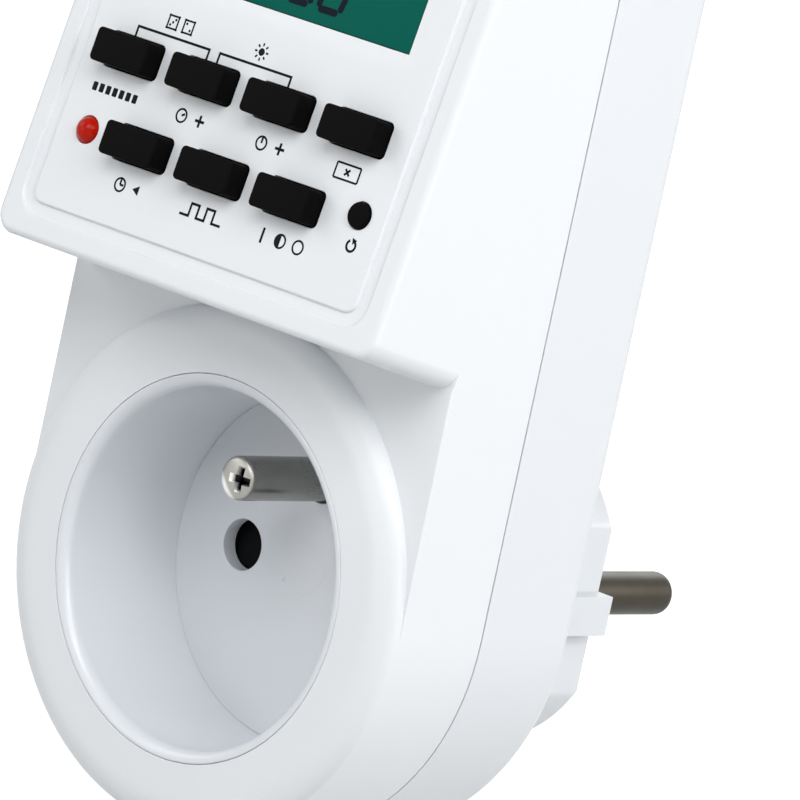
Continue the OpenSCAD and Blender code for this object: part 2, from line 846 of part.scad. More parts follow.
// The tube in the plug face that takes the outlet's own earth pin.
module earth_sleeve() {
    foot_d = earth_bore_len + sleeve_end;
    color("goldenrod") difference() {
        rod(0.3, foot_d, sleeve_r, 0, earth_z);
        rod(-1, earth_bore_len, earth_bore_r, 0, earth_z);
        rod(0, foot_d + 1, shank_r + 0.05, 0, earth_z);
    }
}

// One bent strip that joins the sleeve to the spring clips above and below the boss.
module earth_strip() {
    eye_r = sleeve_r + 1.6;
    color("goldenrod") difference() {
        union() {
            block(strip_d, strip_d + clip_t, clip_w, -clip_floor_z - clip_t,
                  clip_floor_z + clip_t);
            rod(strip_d, strip_d + clip_t, eye_r, 0, earth_z);
            for (side = [0, 1]) mirror([0, 0, side])
                block(1, strip_d + clip_t, clip_w, clip_floor_z, clip_floor_z + clip_t);
        }
        rod(strip_d - 1, strip_d + clip_t + 1, sleeve_r + 0.05, 0, earth_z);
    }
}

// ---------------------------------------------------------------- panel parts

module lcd_window() {
    color("darkcyan") {
        panel_box(0, lcd_mid_b, lcd_w - 0.2, lcd_h - 0.2, window_h - window_t, window_h);
        panel_box(0, lcd_mid_b, lcd_w + 2 * window_flange, lcd_h + 2 * window_flange,
                  window_foot_h, panel_in_h);
        panel_box(0, lcd_mid_b, lcd_w - 0.2, lcd_h - 0.2, window_foot_h, window_h - window_t / 2);
    }
}

module lcd_glass() {
    color("teal") panel_box(0, lcd_mid_b, glass_w, glass_l, glass_foot_h, glass_top_h);
}

// The frame that clamps the display between the panel and the control board.
module lcd_frame() {
    color("gainsboro") difference() {
        panel_box(0, lcd_mid_b, frame_w, frame_l, logic_h, panel_in_h);
        panel_box(0, lcd_mid_b, glass_w + 2 * fit_gap, glass_l + 2 * fit_gap,
                  logic_h - 1, panel_in_h);
    }
}

// Two conductive rubber strips that join the glass to the control board.
module zebra_strips() {
    strip_w = 2;
    for (side = [-1, 1])
        color("dimgray") panel_box(0, lcd_mid_b + side * (glass_l / 2 - strip_w / 2 - 0.3),
                                   glass_w - 2, strip_w, logic_h, glass_foot_h);
}

// The rubber sheet on the control board, with a thin springy dome under each key.
module keypad_mat() {
    margin = 1;
    low = row_low - key_h / 2 - margin;
    mid = row_high - key_h / 2 - margin;
    high = row_high + key_h / 2 + margin;
    color("black") difference() {
        union() {
            panel_box(0, (low + mid) / 2, 2 * key_pitch + key_w + margin, mid - low + touch,
                      logic_h, mat_h);
            panel_box(0, (mid + high) / 2, 3 * key_pitch + 2 * (dome_r + margin), high - mid,
                      logic_h, mat_h);
            for (key = KEYS) on_panel() translate([key[0], key[1], mat_h - touch])
                cylinder(h = key_foot_h - mat_h + touch, r1 = dome_r + 0.3, r2 = dome_r);
        }
        for (key = KEYS) on_panel() translate([key[0], key[1], logic_h - 1])
            cylinder(h = key_foot_h - logic_h + 2, r = dome_r - dome_wall);
    }
}

// One key: a cap through the panel and a flange that stops behind it.
module key(index) {
    color("black") {
        panel_slab(panel_in_h - touch, key_rise) translate(KEYS[index])
            round_rect(key_w, key_h, key_corner);
        panel_slab(key_foot_h, panel_in_h) translate(KEYS[index])
            round_rect(key_w + 2 * key_flange, key_h + 2 * key_flange, key_corner);
    }
}

module key_week() { key(0); }
module key_hour() { key(1); }
module key_minute() { key(2); }
module key_clear() { key(3); }
module key_clock() { key(4); }
module key_timer() { key(5); }
module key_mode() { key(6); }

module reset_button() {
    color("black") on_panel() translate([reset_x, reset_b, 0]) {
        translate([0, 0, panel_in_h - touch])
            cylinder(h = reset_rise - panel_in_h + touch, r = reset_d / 2);
        translate([0, 0, panel_in_h - reset_flange_t])
            cylinder(h = reset_flange_t, r = reset_d / 2 + 0.7);
        translate([0, 0, reset_foot_h])
            cylinder(h = reset_flange_t + 0.4, r = reset_d / 2 - 0.5);
    }
}

module reset_switch() {
    plunger_h = reset_foot_h - reset_travel - 0.05;
    body_h = plunger_h - 0.3;
    color("dimgray") {
        panel_box(reset_x, reset_b, 4, 4, logic_h, body_h);
        on_panel() translate([reset_x, reset_b, body_h - touch])
            cylinder(h = plunger_h - body_h + touch, r = 0.9);
    }
}

module status_led() {
    r = led_d / 2;
    body_h = led_rise - 5.3;
    flange_r = r + 0.4;
    color("red") on_panel() translate([led_x, led_b, 0]) {
        translate([0, 0, body_h]) cylinder(h = led_rise - r - body_h, r = r);
        intersection() {
            translate([0, 0, led_rise - r]) sphere(r);
            translate([-r, -r, led_rise - r - touch]) cube(2 * r);
        }
        translate([0, 0, body_h]) cylinder(h = 1, r = flange_r);
        for (side = [-1, 1]) translate([side * 0.65, 0, logic_h - logic_t - 0.8])
            cylinder(h = body_h - logic_h + logic_t + 0.8 + touch, r = 0.25);
    }
}

module logic_board() {
    mid_b = (logic_b0 + logic_b1) / 2;
    color("green") difference() {
        panel_box(0, mid_b, logic_w, logic_b1 - logic_b0, logic_h - logic_t, logic_h);
        for (side = [-1, 1], b = logic_hole_b)
            on_panel() translate([side * logic_hole_x, b, logic_h - logic_t - 1])
                cylinder(h = logic_t + 2, r = small_r + screw_gap);
        for (side = [-1, 1])
            on_panel() translate([led_x + side * 0.65, led_b, logic_h - logic_t - 1])
                cylinder(h = logic_t + 2, r = 0.3);
    }
}

module control_chip() {
    color("black") panel_box(-9, lcd_mid_b, chip_w, chip_w, board_back_h - 1.6, board_back_h);
}

module crystal() {
    color("silver") on_panel()
        translate([-12, lcd_mid_b - chip_w / 2 - 3, board_back_h - 1.05])
            rotate([0, 90, 0]) cylinder(h = 6.2, r = 1);
}

module backup_battery() {
    color("silver") on_panel()
        translate([battery_x, battery_b, board_back_h - tab_t - battery_t])
            cylinder(h = battery_t, r = battery_d / 2);
}

// Two welded strips that carry the cell on the control board.
module battery_tabs() {
    reach = battery_d / 2 + 2.5;
    outer_h = board_back_h - tab_t - battery_t - tab_t;
    color("lightgray") {
        panel_box(battery_x, battery_b - 1, 4, battery_d, board_back_h - tab_t, board_back_h);
        panel_box(battery_x, battery_b + reach / 2, 4, reach, outer_h, outer_h + tab_t);
        panel_box(battery_x, battery_b + reach - tab_t / 2, 4, tab_t, outer_h, board_back_h);
    }
}

// ---------------------------------------------------------------- power board

module power_board() {
    color("tan") difference() {
        block(power_d, power_front_d, power_w, power_z, power_top);
        for (side = [-1, 1], z = power_hole_z)
            rod(power_d - 1, power_front_d + 1, small_r + screw_gap, side * power_hole_x, z);
    }
}

// A box on the power board in the relay's own directions.
module relay_box(u0, u1, w, v0, v1) {
    block(power_front_d + v0, power_front_d + v1, u1 - u0, relay_z - w / 2, relay_z + w / 2,
          relay_x + (u0 + u1) / 2);
}

// A round bar that stands off the power board at the relay.
module relay_rod(u, r, v0, v1) {
    rod(power_front_d + v0, power_front_d + v1, r, relay_x + u, relay_z);
}

module relay_base() {
    color("black") relay_box(-relay_u / 2, relay_u / 2, relay_w, 0, relay_base_t);
}

module relay_cover() {
    color("royalblue") difference() {
        relay_box(-relay_u / 2, relay_u / 2, relay_w, relay_base_t, relay_v);
        relay_box(-relay_u / 2 + relay_wall, relay_u / 2 - relay_wall, relay_w - 2 * relay_wall,
                  relay_base_t - 1, relay_v - relay_wall);
    }
}

// Bobbin and winding around the iron core.
module relay_coil() {
    cheek_t = 0.7;
    foot_v = relay_base_t + yoke_t;
    top_v = core_v - 0.4;
    color("chocolate") difference() {
        union() {
            relay_rod(coil_u, coil_r, foot_v, top_v);
            for (v = [foot_v, top_v - cheek_t])
                relay_rod(coil_u, coil_r + 0.5, v, v + cheek_t);
        }
        relay_rod(coil_u, core_r + 0.05, 0, core_v + 1);
    }
}

// The L-shaped iron frame with the round core riveted into its foot.
module relay_yoke() {
    color("slategray") {
        relay_box(yoke_u, yoke_u + yoke_t, 9, relay_base_t, core_v);
        relay_box(yoke_u, coil_u + core_r, 9, relay_base_t, relay_base_t + yoke_t);
        relay_rod(coil_u, core_r, relay_base_t, core_v);
    }
}

module relay_armature() {
    color("slategray") relay_box(yoke_u, armature_end_u, 9, armature_v, armature_v + armature_t);
}

// The spring blade on the armature, with its contact rivet.
module relay_moving_contact() {
    blade_v = armature_v + armature_t;
    color("peru") {
        relay_box(coil_u, blade_end_u, 4, blade_v, blade_v + blade_t);
        relay_rod(contact_u, rivet_r, armature_v - rivet_t + armature_t, blade_v + touch);
    }
}

module relay_fixed_contact() {
    color("peru") {
        relay_box(contact_u + rivet_r + 0.2, contact_u + rivet_r + 0.8, 4, relay_base_t,
                  fixed_top_v);
        relay_box(contact_u - rivet_r, contact_u + rivet_r + 0.8, 4,
                  fixed_top_v - 0.6, fixed_top_v);
    }
}

module film_capacitor() {
    color("gold") block(power_front_d, power_front_d + film_v, film_u, film_z, film_z + film_w,
                        relay_x);
}

module smoothing_capacitor() {
    color("midnightblue") rod(power_front_d, power_front_d + can_h, can_r, can_x, can_z);
}

// Four small rectifier diodes in a row.
module rectifier_diodes() {
    for (i = [0 : 3]) color("black")
        translate([part_x + diode_pitch * i, -power_front_d - diode_r - part_gap, diode_z])
            cylinder(h = diode_len, r = diode_r);
}

// Three quarter-watt resistors in a row.
module resistors() {
    for (i = [0 : 2]) color("burlywood")
        translate([part_x + resistor_pitch * i, -power_front_d - resistor_r - part_gap,
                   resistor_z]) cylinder(h = resistor_len, r = resistor_r);
}

module varistor() {
    color("steelblue") translate([varistor_x, -power_front_d - varistor_r, fuse_z])
        rotate([0, 90, 0]) cylinder(h = varistor_t, r = varistor_r);
}

module fuse() {
    color("saddlebrown") rod(power_front_d, power_front_d + fuse_h, fuse_r, fuse_x, fuse_z);
}

module drive_transistor() {
    color("black") intersection() {
        rod(power_front_d, power_front_d + drive_h, drive_r, drive_x, can_z);
        block(power_front_d, power_front_d + drive_h, 2 * drive_r, can_z - drive_r * 0.7,
              can_z + drive_r, drive_x);
    }
}

// ---------------------------------------------------------------- cables

// A flat cable that runs between the relay and the film capacitor from board to board.
module ribbon_cable() {
    z = relay_z + relay_w / 2 + 0.8;
    near = panel_point(panel_b(z, board_back_h), board_back_h);
    far = panel_point(panel_b(z + ribbon_t, board_back_h), board_back_h);
    color("lightgray") translate([relay_x, 0, 0]) side_slab(ribbon_w)
        polygon([[power_front_d, z], near, far, [power_front_d, z + ribbon_t]]);
}

// One insulated wire from the plug boss up through the block's notch to the power board.
module riser(x, y_from, z_from) {
    top_d = power_front_d + wire_r;
    turn_z = notch_z + wire_gap + wire_r;
    wire(bend([[x, -y_from, z_from], [x, -y_from, turn_z], [x, -top_d, turn_z],
               [x, -top_d, solder_z]], wire_d), wire_r);
}

module live_in_wire() {
    color("saddlebrown") riser(pin_x - wire_r, pin_flange_d + 0.2 + wire_r, shank_r + 0.05);
}

module live_out_wire() {
    color("black") riser(tab_x, block_back_d - plate_t - 0.05 - wire_r, notch_z - 2);
}

module neutral_wire() {
    color("blue") riser(-tab_x, block_back_d - plate_t - 0.05 - wire_r, notch_z - 2);
}

// ---------------------------------------------------------------- fasteners

module case_screws() {
    for (side = [-1, 1], at = [screw_low, screw_high]) color("silver")
        translate([side * at[0], 0, at[1]]) difference() {
            union() {
                rod(screw_seat_d - screw_head_t, screw_seat_d, screw_head_r);
                rod(screw_seat_d - touch, screw_seat_d + screw_len, screw_r);
            }
            for (turn = [0, 90]) translate([0, -screw_seat_d + screw_head_t, 0])
                rotate([0, turn, 0]) cube([3, 2, 0.8], center = true);
        }
}

module logic_screws() {
    for (side = [-1, 1], b = logic_hole_b) color("silver")
        on_panel() translate([side * logic_hole_x, b, board_back_h]) {
            translate([0, 0, -1.3]) cylinder(h = 1.3, r = small_r + 0.9);
            translate([0, 0, -touch]) cylinder(h = logic_t + logic_drop - 1.2, r = small_r);
        }
}

module power_screws() {
    for (side = [-1, 1], z = power_hole_z) color("silver")
        translate([side * power_hole_x, 0, z]) {
            rod(power_front_d, power_front_d + 1.3, small_r + 0.9);
            rod(rear_inner_d - wall / 2 + 0.1, power_front_d + touch, small_r);
        }
}

// ---------------------------------------------------------------- assembly

front_shell();
rear_shell();
plug_boss();
socket_cup();
contact_block();
safety_shutter();
shutter_spring();
live_contact();
neutral_contact();
earth_pin();
earth_sleeve();
earth_strip();
plug_pin_left();
plug_pin_right();
lcd_window();
lcd_glass();
lcd_frame();
zebra_strips();
keypad_mat();
key_week();
key_hour();
key_minute();
key_clear();
key_clock();
key_timer();
key_mode();
reset_button();
reset_switch();
status_led();
logic_board();
control_chip();
crystal();
backup_battery();
battery_tabs();
power_board();
relay_base();
relay_cover();
relay_coil();
relay_yoke();
relay_armature();
relay_moving_contact();
relay_fixed_contact();
film_capacitor();
smoothing_capacitor();
rectifier_diodes();
resistors();
varistor();
fuse();
drive_transistor();
ribbon_cable();
live_in_wire();
live_out_wire();
neutral_wire();
case_screws();
logic_screws();
power_screws();
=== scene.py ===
"""Looks of a plug-in weekly timer switch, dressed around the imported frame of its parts.

Each sub-assembly is a class that holds its sizes in millimetres, as on a maker's drawing.
A mesh is shaped on a drawing plane and becomes metres in the part's frame when it is finished.
"""
import logging
import math
from collections.abc import Callable, Iterable, Mapping, Sequence
from dataclasses import dataclass
from enum import Enum
from functools import cache

import bmesh
import bpy
from bmesh.types import BMEdge, BMesh, BMFace, BMVert
from mathutils import Matrix, Vector


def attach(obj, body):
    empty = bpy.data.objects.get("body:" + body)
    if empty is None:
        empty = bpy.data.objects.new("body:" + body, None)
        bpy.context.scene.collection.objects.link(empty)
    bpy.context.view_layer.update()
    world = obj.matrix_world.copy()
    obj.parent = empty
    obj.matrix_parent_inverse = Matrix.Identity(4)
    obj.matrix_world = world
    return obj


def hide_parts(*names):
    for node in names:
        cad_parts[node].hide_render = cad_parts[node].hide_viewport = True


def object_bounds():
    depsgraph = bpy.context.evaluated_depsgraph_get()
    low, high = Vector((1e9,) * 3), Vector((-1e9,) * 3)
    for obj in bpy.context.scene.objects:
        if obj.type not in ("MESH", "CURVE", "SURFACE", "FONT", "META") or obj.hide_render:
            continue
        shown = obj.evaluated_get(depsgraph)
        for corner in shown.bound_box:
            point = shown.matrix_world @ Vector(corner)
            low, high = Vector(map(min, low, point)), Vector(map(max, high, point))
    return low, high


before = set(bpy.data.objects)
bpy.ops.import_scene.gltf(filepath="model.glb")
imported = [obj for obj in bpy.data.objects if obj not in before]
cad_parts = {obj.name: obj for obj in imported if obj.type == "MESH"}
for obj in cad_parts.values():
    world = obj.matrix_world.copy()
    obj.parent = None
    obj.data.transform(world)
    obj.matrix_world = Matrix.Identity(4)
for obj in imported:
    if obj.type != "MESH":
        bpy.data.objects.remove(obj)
CAD_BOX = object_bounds()

LOG = logging.getLogger("timer_switch")
METRES = 0.001
NEAR = 0.03  # Two places this close, in millimetres, count as one.

Colour = tuple[float, float, float]
Point = tuple[float, float]


@dataclass(frozen=True)
class Datum:
    """Planes and radii that the whole part shares, in millimetres."""

    body_radius: float = 28.2
    back_face: float = 17.0
    rear_rim: float = 31.5
    seam: float = 31.6
    low_front: float = 44.5
    ring_face: float = 46.6
    panel_depth: float = 58.4
    panel_height: float = 29.9
    panel_length: float = 60.0
    tilt: float = 11.4
    top_corner: float = 4.0
    pin_offset: float = 9.5
    earth_height: float = 10.0


DATUM = Datum()


class Plane(Enum):
    """The drawing planes that pieces are modelled on."""

    FRONT = "front"
    PANEL = "panel"

    @property
    def matrix(self) -> Matrix:
        """The turn and shift from this plane to the part's frame.

        FRONT has x across, y up and z forwards from the plug's face. PANEL has x across,
        y up the slope from the panel's lower edge and z out of the panel.

        Returns:
            A matrix in millimetres.
        """
        if self is Plane.FRONT:
            return Matrix.Rotation(math.radians(90), 4, "X")
        lean = Matrix.Rotation(math.radians(90 - DATUM.tilt), 4, "X")
        return Matrix.Translation((0, -DATUM.panel_depth, DATUM.panel_height)) @ lean


# ---------------------------------------------------------------- shader maths


def _operator(operation: str, reflected: bool = False) -> Callable[..., "Wire"]:
    """Make one of Wire's arithmetic operators.

    Args:
        operation: The Math node's operation.
        reflected: Whether the other operand comes first.

    Returns:
        The operator as a method.
    """
    def operator(self: "Wire", other: "Value" = 0.0) -> "Wire":
        """Add the Math node for self and other."""
        operands = (other, self) if reflected else (self, other)
        return self.shader.node("ShaderNodeMath", {"operation": operation},
                                dict(enumerate(operands)))
    return operator


class Wire:
    """A node's output socket that takes part in Python arithmetic."""

    def __init__(self, shader: "Shader", socket: bpy.types.NodeSocket) -> None:
        """Wrap one output socket of a shader's node tree."""
        self.shader = shader
        self.socket = socket

    __add__ = _operator("ADD")
    __radd__ = _operator("ADD", reflected=True)
    __sub__ = _operator("SUBTRACT")
    __rsub__ = _operator("SUBTRACT", reflected=True)
    __mul__ = _operator("MULTIPLY")
    __rmul__ = _operator("MULTIPLY", reflected=True)
    __truediv__ = _operator("DIVIDE")
    __rtruediv__ = _operator("DIVIDE", reflected=True)
    __pow__ = _operator("POWER")
    __rpow__ = _operator("POWER", reflected=True)
    __mod__ = _operator("FLOORED_MODULO")
    __rmod__ = _operator("FLOORED_MODULO", reflected=True)
    __abs__ = _operator("ABSOLUTE")
    __lt__ = _operator("LESS_THAN")
    __gt__ = _operator("GREATER_THAN")
    at_most = _operator("MINIMUM")
    at_least = _operator("MAXIMUM")


Value = Wire | float | Sequence[float]
Sockets = dict[str | int, Value]


class Shader:
    """The node tree of one material, or of the world."""

    def __init__(self, name: str, shelf: bpy.types.bpy_prop_collection | None = None) -> None:
        """Start an empty node tree.

        Args:
            name: The material's or the world's name.
            shelf: Where it is made, if not among the materials.
        """
        self.owner = (bpy.data.materials if shelf is None else shelf).new(name)
        self.owner.use_nodes = True
        self.tree = self.owner.node_tree
        self.tree.nodes.clear()

    def node(self, kind: str, settings: Mapping[str, object] | None = None,
             sockets: Sockets | None = None, output: str | int = 0) -> Wire:
        """Add a node, set it up and link or fill its sockets.

        Args:
            kind: The node's type, such as ShaderNodeMath.
            settings: Properties of the node, set first.
            sockets: Values or links of its input sockets, by name or number.
            output: The output socket to return, by name or number.

        Returns:
            The chosen output socket.
        """
        made = self.tree.nodes.new(kind)
        for key, setting in (settings or {}).items():
            setattr(made, key, setting)
        for key, value in (sockets or {}).items():
            if isinstance(value, Wire):
                self.tree.links.new(value.socket, made.inputs[key])
            else:
                made.inputs[key].default_value = value
        return Wire(self, made.outputs[output] if len(made.outputs) else None)

    def place(self, stretch: Sequence[float] = (1, 1, 1), turn: float = 0.0) -> Wire:
        """Give the place on the piece, stretched and turned about X.

        Args:
            stretch: Factors along the three axes.
            turn: Turn about X in degrees, before the stretch.

        Returns:
            A vector in metres.
        """
        here = self.node("ShaderNodeTexCoord", output="Object")
        return self.node("ShaderNodeMapping", {"vector_type": "POINT"},
                         {"Vector": here, "Rotation": (math.radians(turn), 0, 0),
                          "Scale": tuple(stretch)})

    def axis(self, name: str) -> Wire:
        """Give one coordinate of the place on the piece, X, Y or Z, in millimetres."""
        return self.node("ShaderNodeSeparateXYZ", None, {0: self.place()}, name) / METRES

    def noise(self, size: float, detail: float = 2.0, where: Wire | None = None) -> Wire:
        """Give a noise whose blobs are about size millimetres across, centred on 0.5."""
        return self.node("ShaderNodeTexNoise", None,
                         {"Vector": where or self.place(), "Scale": 1 / (size * METRES),
                          "Detail": detail, "Roughness": 0.5})

    def blend(self, share: Value, first: Value, second: Value) -> Wire:
        """Mix two colours.

        Args:
            share: How much of the second colour there is, from 0 to 1.
            first: The first colour.
            second: The second colour.

        Returns:
            The mixed colour.
        """
        first, second = (colour if isinstance(colour, Wire) else (*colour, 1.0)
                         for colour in (first, second))
        return self.node("ShaderNodeMix", {"data_type": "RGBA", "clamp_factor": True},
                         {0: share, 6: first, 7: second}, 2)

    def bump(self, height: Wire, depth: float, under: Wire | None = None) -> Wire:
        """Turn a height from 0 to 1 into a normal.

        Args:
            height: The height over the surface.
            depth: What a height of 1 stands for, in millimetres.
            under: A normal that this one is laid over.

        Returns:
            The bumped normal.
        """
        sockets: Sockets = {"Height": height, "Strength": 1.0, "Distance": depth * METRES}
        if under is not None:
            sockets["Normal"] = under
        return self.node("ShaderNodeBump", None, sockets)


def _darker(colour: Colour, share: float) -> Colour:
    """Take a share off a colour's brightness."""
    red, green, blue = colour
    return (red * (1 - share), green * (1 - share), blue * (1 - share))


def _about(middle: Value, pattern: Wire, swing: float) -> Wire:
    """Let a value swing about its middle with a pattern from 0 to 1."""
    return middle + (pattern - 0.5) * swing


# ---------------------------------------------------------------- finishes


@dataclass(frozen=True)
class Finish:
    """A surface with a name and a main colour."""

    name: str
    colour: Colour

    def sockets(self, shader: Shader) -> Sockets:
        """Work out the values and patterns of the surface, in each finish's own way.

        Args:
            shader: The material's tree.

        Returns:
            What goes into the Principled BSDF, by socket.
        """
        raise NotImplementedError(self.name)

    @cache
    def material(self) -> bpy.types.Material:
        """Build the material once, and hand out the same one after that.

        Returns:
            The material.
        """
        shader = Shader(self.name)
        lit = shader.node("ShaderNodeBsdfPrincipled", None, self.sockets(shader))
        shader.node("ShaderNodeOutputMaterial", None, {"Surface": lit})
        return shader.owner


@dataclass(frozen=True)
class MouldedPlastic(Finish):
    """Injection-moulded plastic: soft waves from the mould, a fine grain and faint flow marks."""

    roughness: float = 0.3
    flow_size: float = 34.0
    wave_size: float = 9.0
    wave_depth: float = 0.002
    grain_size: float = 0.5
    grain_depth: float = 0.0002
    shine: float = 0.5

    def sockets(self, shader: Shader) -> Sockets:
        """Lay the grain over the waves, and let tone and gloss follow the flow.

        Args:
            shader: The material's tree.

        Returns:
            What goes into the Principled BSDF, by socket.
        """
        flow = shader.noise(self.flow_size, 3.0, shader.place((1, 1, 0.35)))
        grain = shader.noise(self.grain_size)
        waves = shader.bump(shader.noise(self.wave_size, 1.0), self.wave_depth)
        return {"Base Color": shader.blend(flow, _darker(self.colour, 0.02), self.colour),
                "Specular IOR Level": self.shine,
                "Roughness": _about(_about(self.roughness, flow, 0.08), grain, 0.02),
                "Normal": shader.bump(grain, self.grain_depth, waves)}


@dataclass(frozen=True)
class SoftRubber(Finish):
    """Matt silicone rubber with a fine skin and a little dust."""

    roughness: float = 0.62
    shine: float = 0.06
    skin_size: float = 0.12
    skin_depth: float = 0.006
    patch_size: float = 2.4
    dust_size: float = 0.3

    def sockets(self, shader: Shader) -> Sockets:
        """Scatter dust in specks and patches over the skin.

        Args:
            shader: The material's tree.

        Returns:
            What goes into the Principled BSDF, by socket.
        """
        patches = shader.noise(self.patch_size, 3.0)
        specks = shader.noise(self.dust_size, 1.0) > 0.72
        dust = (specks * 0.35 + (patches - 0.4) * 0.5).at_most(1.0)
        lighter = tuple(tone + 0.005 for tone in self.colour)
        return {"Base Color": shader.blend(dust, self.colour, lighter),
                "Specular IOR Level": self.shine,
                "Roughness": _about(self.roughness, patches, 0.2),
                "Normal": shader.bump(shader.noise(self.skin_size, 3.0), self.skin_depth)}


@dataclass(frozen=True)
class TurnedMetal(Finish):
    """Plated metal, turned about the plug's axis, with fine rings and a dull film."""

    film: Colour
    roughness: float = 0.28
    ring_size: float = 0.25
    ring_depth: float = 0.0022
    film_size: float = 3.5
    scuff_size: float = 0.6

    def sockets(self, shader: Shader) -> Sockets:
        """Cut the rings round the axis, and lay the film and scuffs along it.

        Args:
            shader: The material's tree.

        Returns:
            What goes into the Principled BSDF, by socket.
        """
        rings = shader.noise(self.ring_size, 2.0, shader.place((0.02, 1, 0.02)))
        film = shader.noise(self.film_size, 4.0)
        scuffs = shader.noise(self.scuff_size, 3.0, shader.place((1, 0.15, 1)))
        return {"Base Color": shader.blend((film - 0.3) * 1.2, self.colour, self.film),
                "Metallic": 1.0,
                "Roughness": _about(_about(self.roughness, film, 0.06), scuffs, 0.04),
                "Normal": shader.bump(rings, self.ring_depth)}


@dataclass(frozen=True)
class CrownedMetal(TurnedMetal):
    """Turned metal whose crowned tip has a recess, with a painted glint at its rim, painted shade
    further in and a painted highlight on one side of the crown.
    """

    radius: float = 2.4
    tip: float = 43.6
    crown: float = 0.9
    power: float = 2 / 0.75
    height: float = 10.0
    rim: float = 0.04
    inner_share: float = 0.99
    shade_from: float = 0.3
    shade_gain: float = 2.6
    # Where the painted highlight lies on the crown's side, and how fast it brightens.
    highlight_side: Point = (-0.73, -0.68)
    highlight_from: float = 0.46
    highlight_gain: float = 4.5
    dulling: float = 0.16
    # Colours of the painted glint at the recess's rim and the painted shade deeper in.
    glint: Colour = (0.8, 0.8, 0.77)
    shadow: Colour = (0.012, 0.012, 0.012)

    def sockets(self, shader: Shader) -> Sockets:
        """Dull the crown, paint a highlight on one side of it and lay the recess's painted glint
        and shade over it.

        Args:
            shader: The material's tree.

        Returns:
            What goes into the Principled BSDF, by socket.
        """
        made = super().sockets(shader)
        across, up = shader.axis("X"), shader.axis("Z") - self.height
        behind = shader.axis("Y") + self.tip
        share = ((across * across + up * up) ** 0.5 / self.radius).at_most(1.0)
        dome = (1 - share ** self.power) ** (1 / self.power)
        sunk = behind - (1 - dome) * self.crown
        inside = (sunk > self.rim) * (share < self.inner_share)
        # Painted shade deeper in the recess, under a painted glint near its rim.
        deep = ((sunk - self.shade_from) * self.shade_gain).at_least(0.0)
        # Painted highlight: one side of the crown is brightened in colour, standing in for a
        # reflection.
        edge = (across * self.highlight_side[0] + up * self.highlight_side[1]) / self.radius
        painted_highlight = ((edge - self.highlight_from) * self.highlight_gain).at_least(0.0)
        painted_highlight = painted_highlight * (behind < self.crown)
        with_highlight = shader.blend(painted_highlight, made["Base Color"], self.glint)
        recess = shader.blend(deep, self.glint, self.shadow)
        made["Base Color"] = shader.blend(inside, with_highlight, recess)
        made["Roughness"] += (1 - behind / self.crown).at_least(0.0) ** 0.5 * self.dulling
        return made


@dataclass(frozen=True)
class StampedMetal(Finish):
    """Sheet metal with rolling lines and patches of tarnish."""

    tarnish: Colour
    roughness: float = 0.35
    line_size: float = 0.3
    line_depth: float = 0.003
    patch_size: float = 2.5

    def sockets(self, shader: Shader) -> Sockets:
        """Draw the lines out along the plug's axis and let the patches dull them.

        Args:
            shader: The material's tree.

        Returns:
            What goes into the Principled BSDF, by socket.
        """
        lines = shader.noise(self.line_size, 3.0, shader.place((1, 0.06, 1)))
        patches = shader.noise(self.patch_size, 4.0)
        return {"Base Color": shader.blend((patches - 0.35) * 1.6, self.colour, self.tarnish),
                "Metallic": 1.0,
                "Roughness": _about(self.roughness, patches, 0.25),
                "Normal": shader.bump(lines, self.line_depth)}


@dataclass(frozen=True)
class DisplayFilm(Finish):
    """The display's glossy window over its tinted ground, a little darker towards one end."""

    half_width: float = 18.9
    cloud_size: float = 9.0
    smear_size: float = 0.4
    smear_depth: float = 0.001

    def sockets(self, shader: Shader) -> Sockets:
        """Shade the ground from left to right with a soft cloud.

        Args:
            shader: The material's tree.

        Returns:
            What goes into the Principled BSDF, by socket.
        """
        across = shader.axis("X") / self.half_width * 0.5 + 0.5
        shade = _about(across * 0.75, shader.noise(self.cloud_size), 0.5).at_most(1.0)
        return {"Base Color": shader.blend(shade, self.colour, _darker(self.colour, 0.16)),
                "Specular IOR Level": 0.03,
                "Roughness": _about(0.2, shader.noise(0.2), 0.1),
                "Normal": shader.bump(shader.noise(self.smear_size), self.smear_depth)}


@dataclass(frozen=True)
class PrintedInk(Finish):
    """Pad-printed ink: dark, slightly glossy, with tiny pinholes."""

    gap_colour: Colour
    pinhole: float = 0.09
    tooth_size: float = 0.06
    tooth_depth: float = 0.002

    def sockets(self, shader: Shader) -> Sockets:
        """Prick the ink with pinholes.

        Args:
            shader: The material's tree.

        Returns:
            What goes into the Principled BSDF, by socket.
        """
        pinholes = (shader.noise(self.pinhole) > 0.7) * 0.5
        return {"Base Color": shader.blend(pinholes, self.colour, self.gap_colour),
                "Specular IOR Level": 0.06,
                "Roughness": _about(0.5, shader.noise(0.8), 0.2),
                "Normal": shader.bump(shader.noise(self.tooth_size), self.tooth_depth)}


@dataclass(frozen=True)
class LampLens(Finish):
    """The clear red resin of the lamp's dome."""

    swirl_size: float = 0.9
    swirl_depth: float = 0.002

    def sockets(self, shader: Shader) -> Sockets:
        """Let tone, gloss and surface follow one swirl.

        Args:
            shader: The material's tree.

        Returns:
            What goes into the Principled BSDF, by socket.
        """
        swirl = shader.noise(self.swirl_size, 3.0)
        return {"Base Color": shader.blend(swirl, _darker(self.colour, 0.35), self.colour),
                "Specular IOR Level": 0.1,
                "Roughness": _about(0.1, swirl, 0.06),
                "Normal": shader.bump(swirl, self.swirl_depth)}


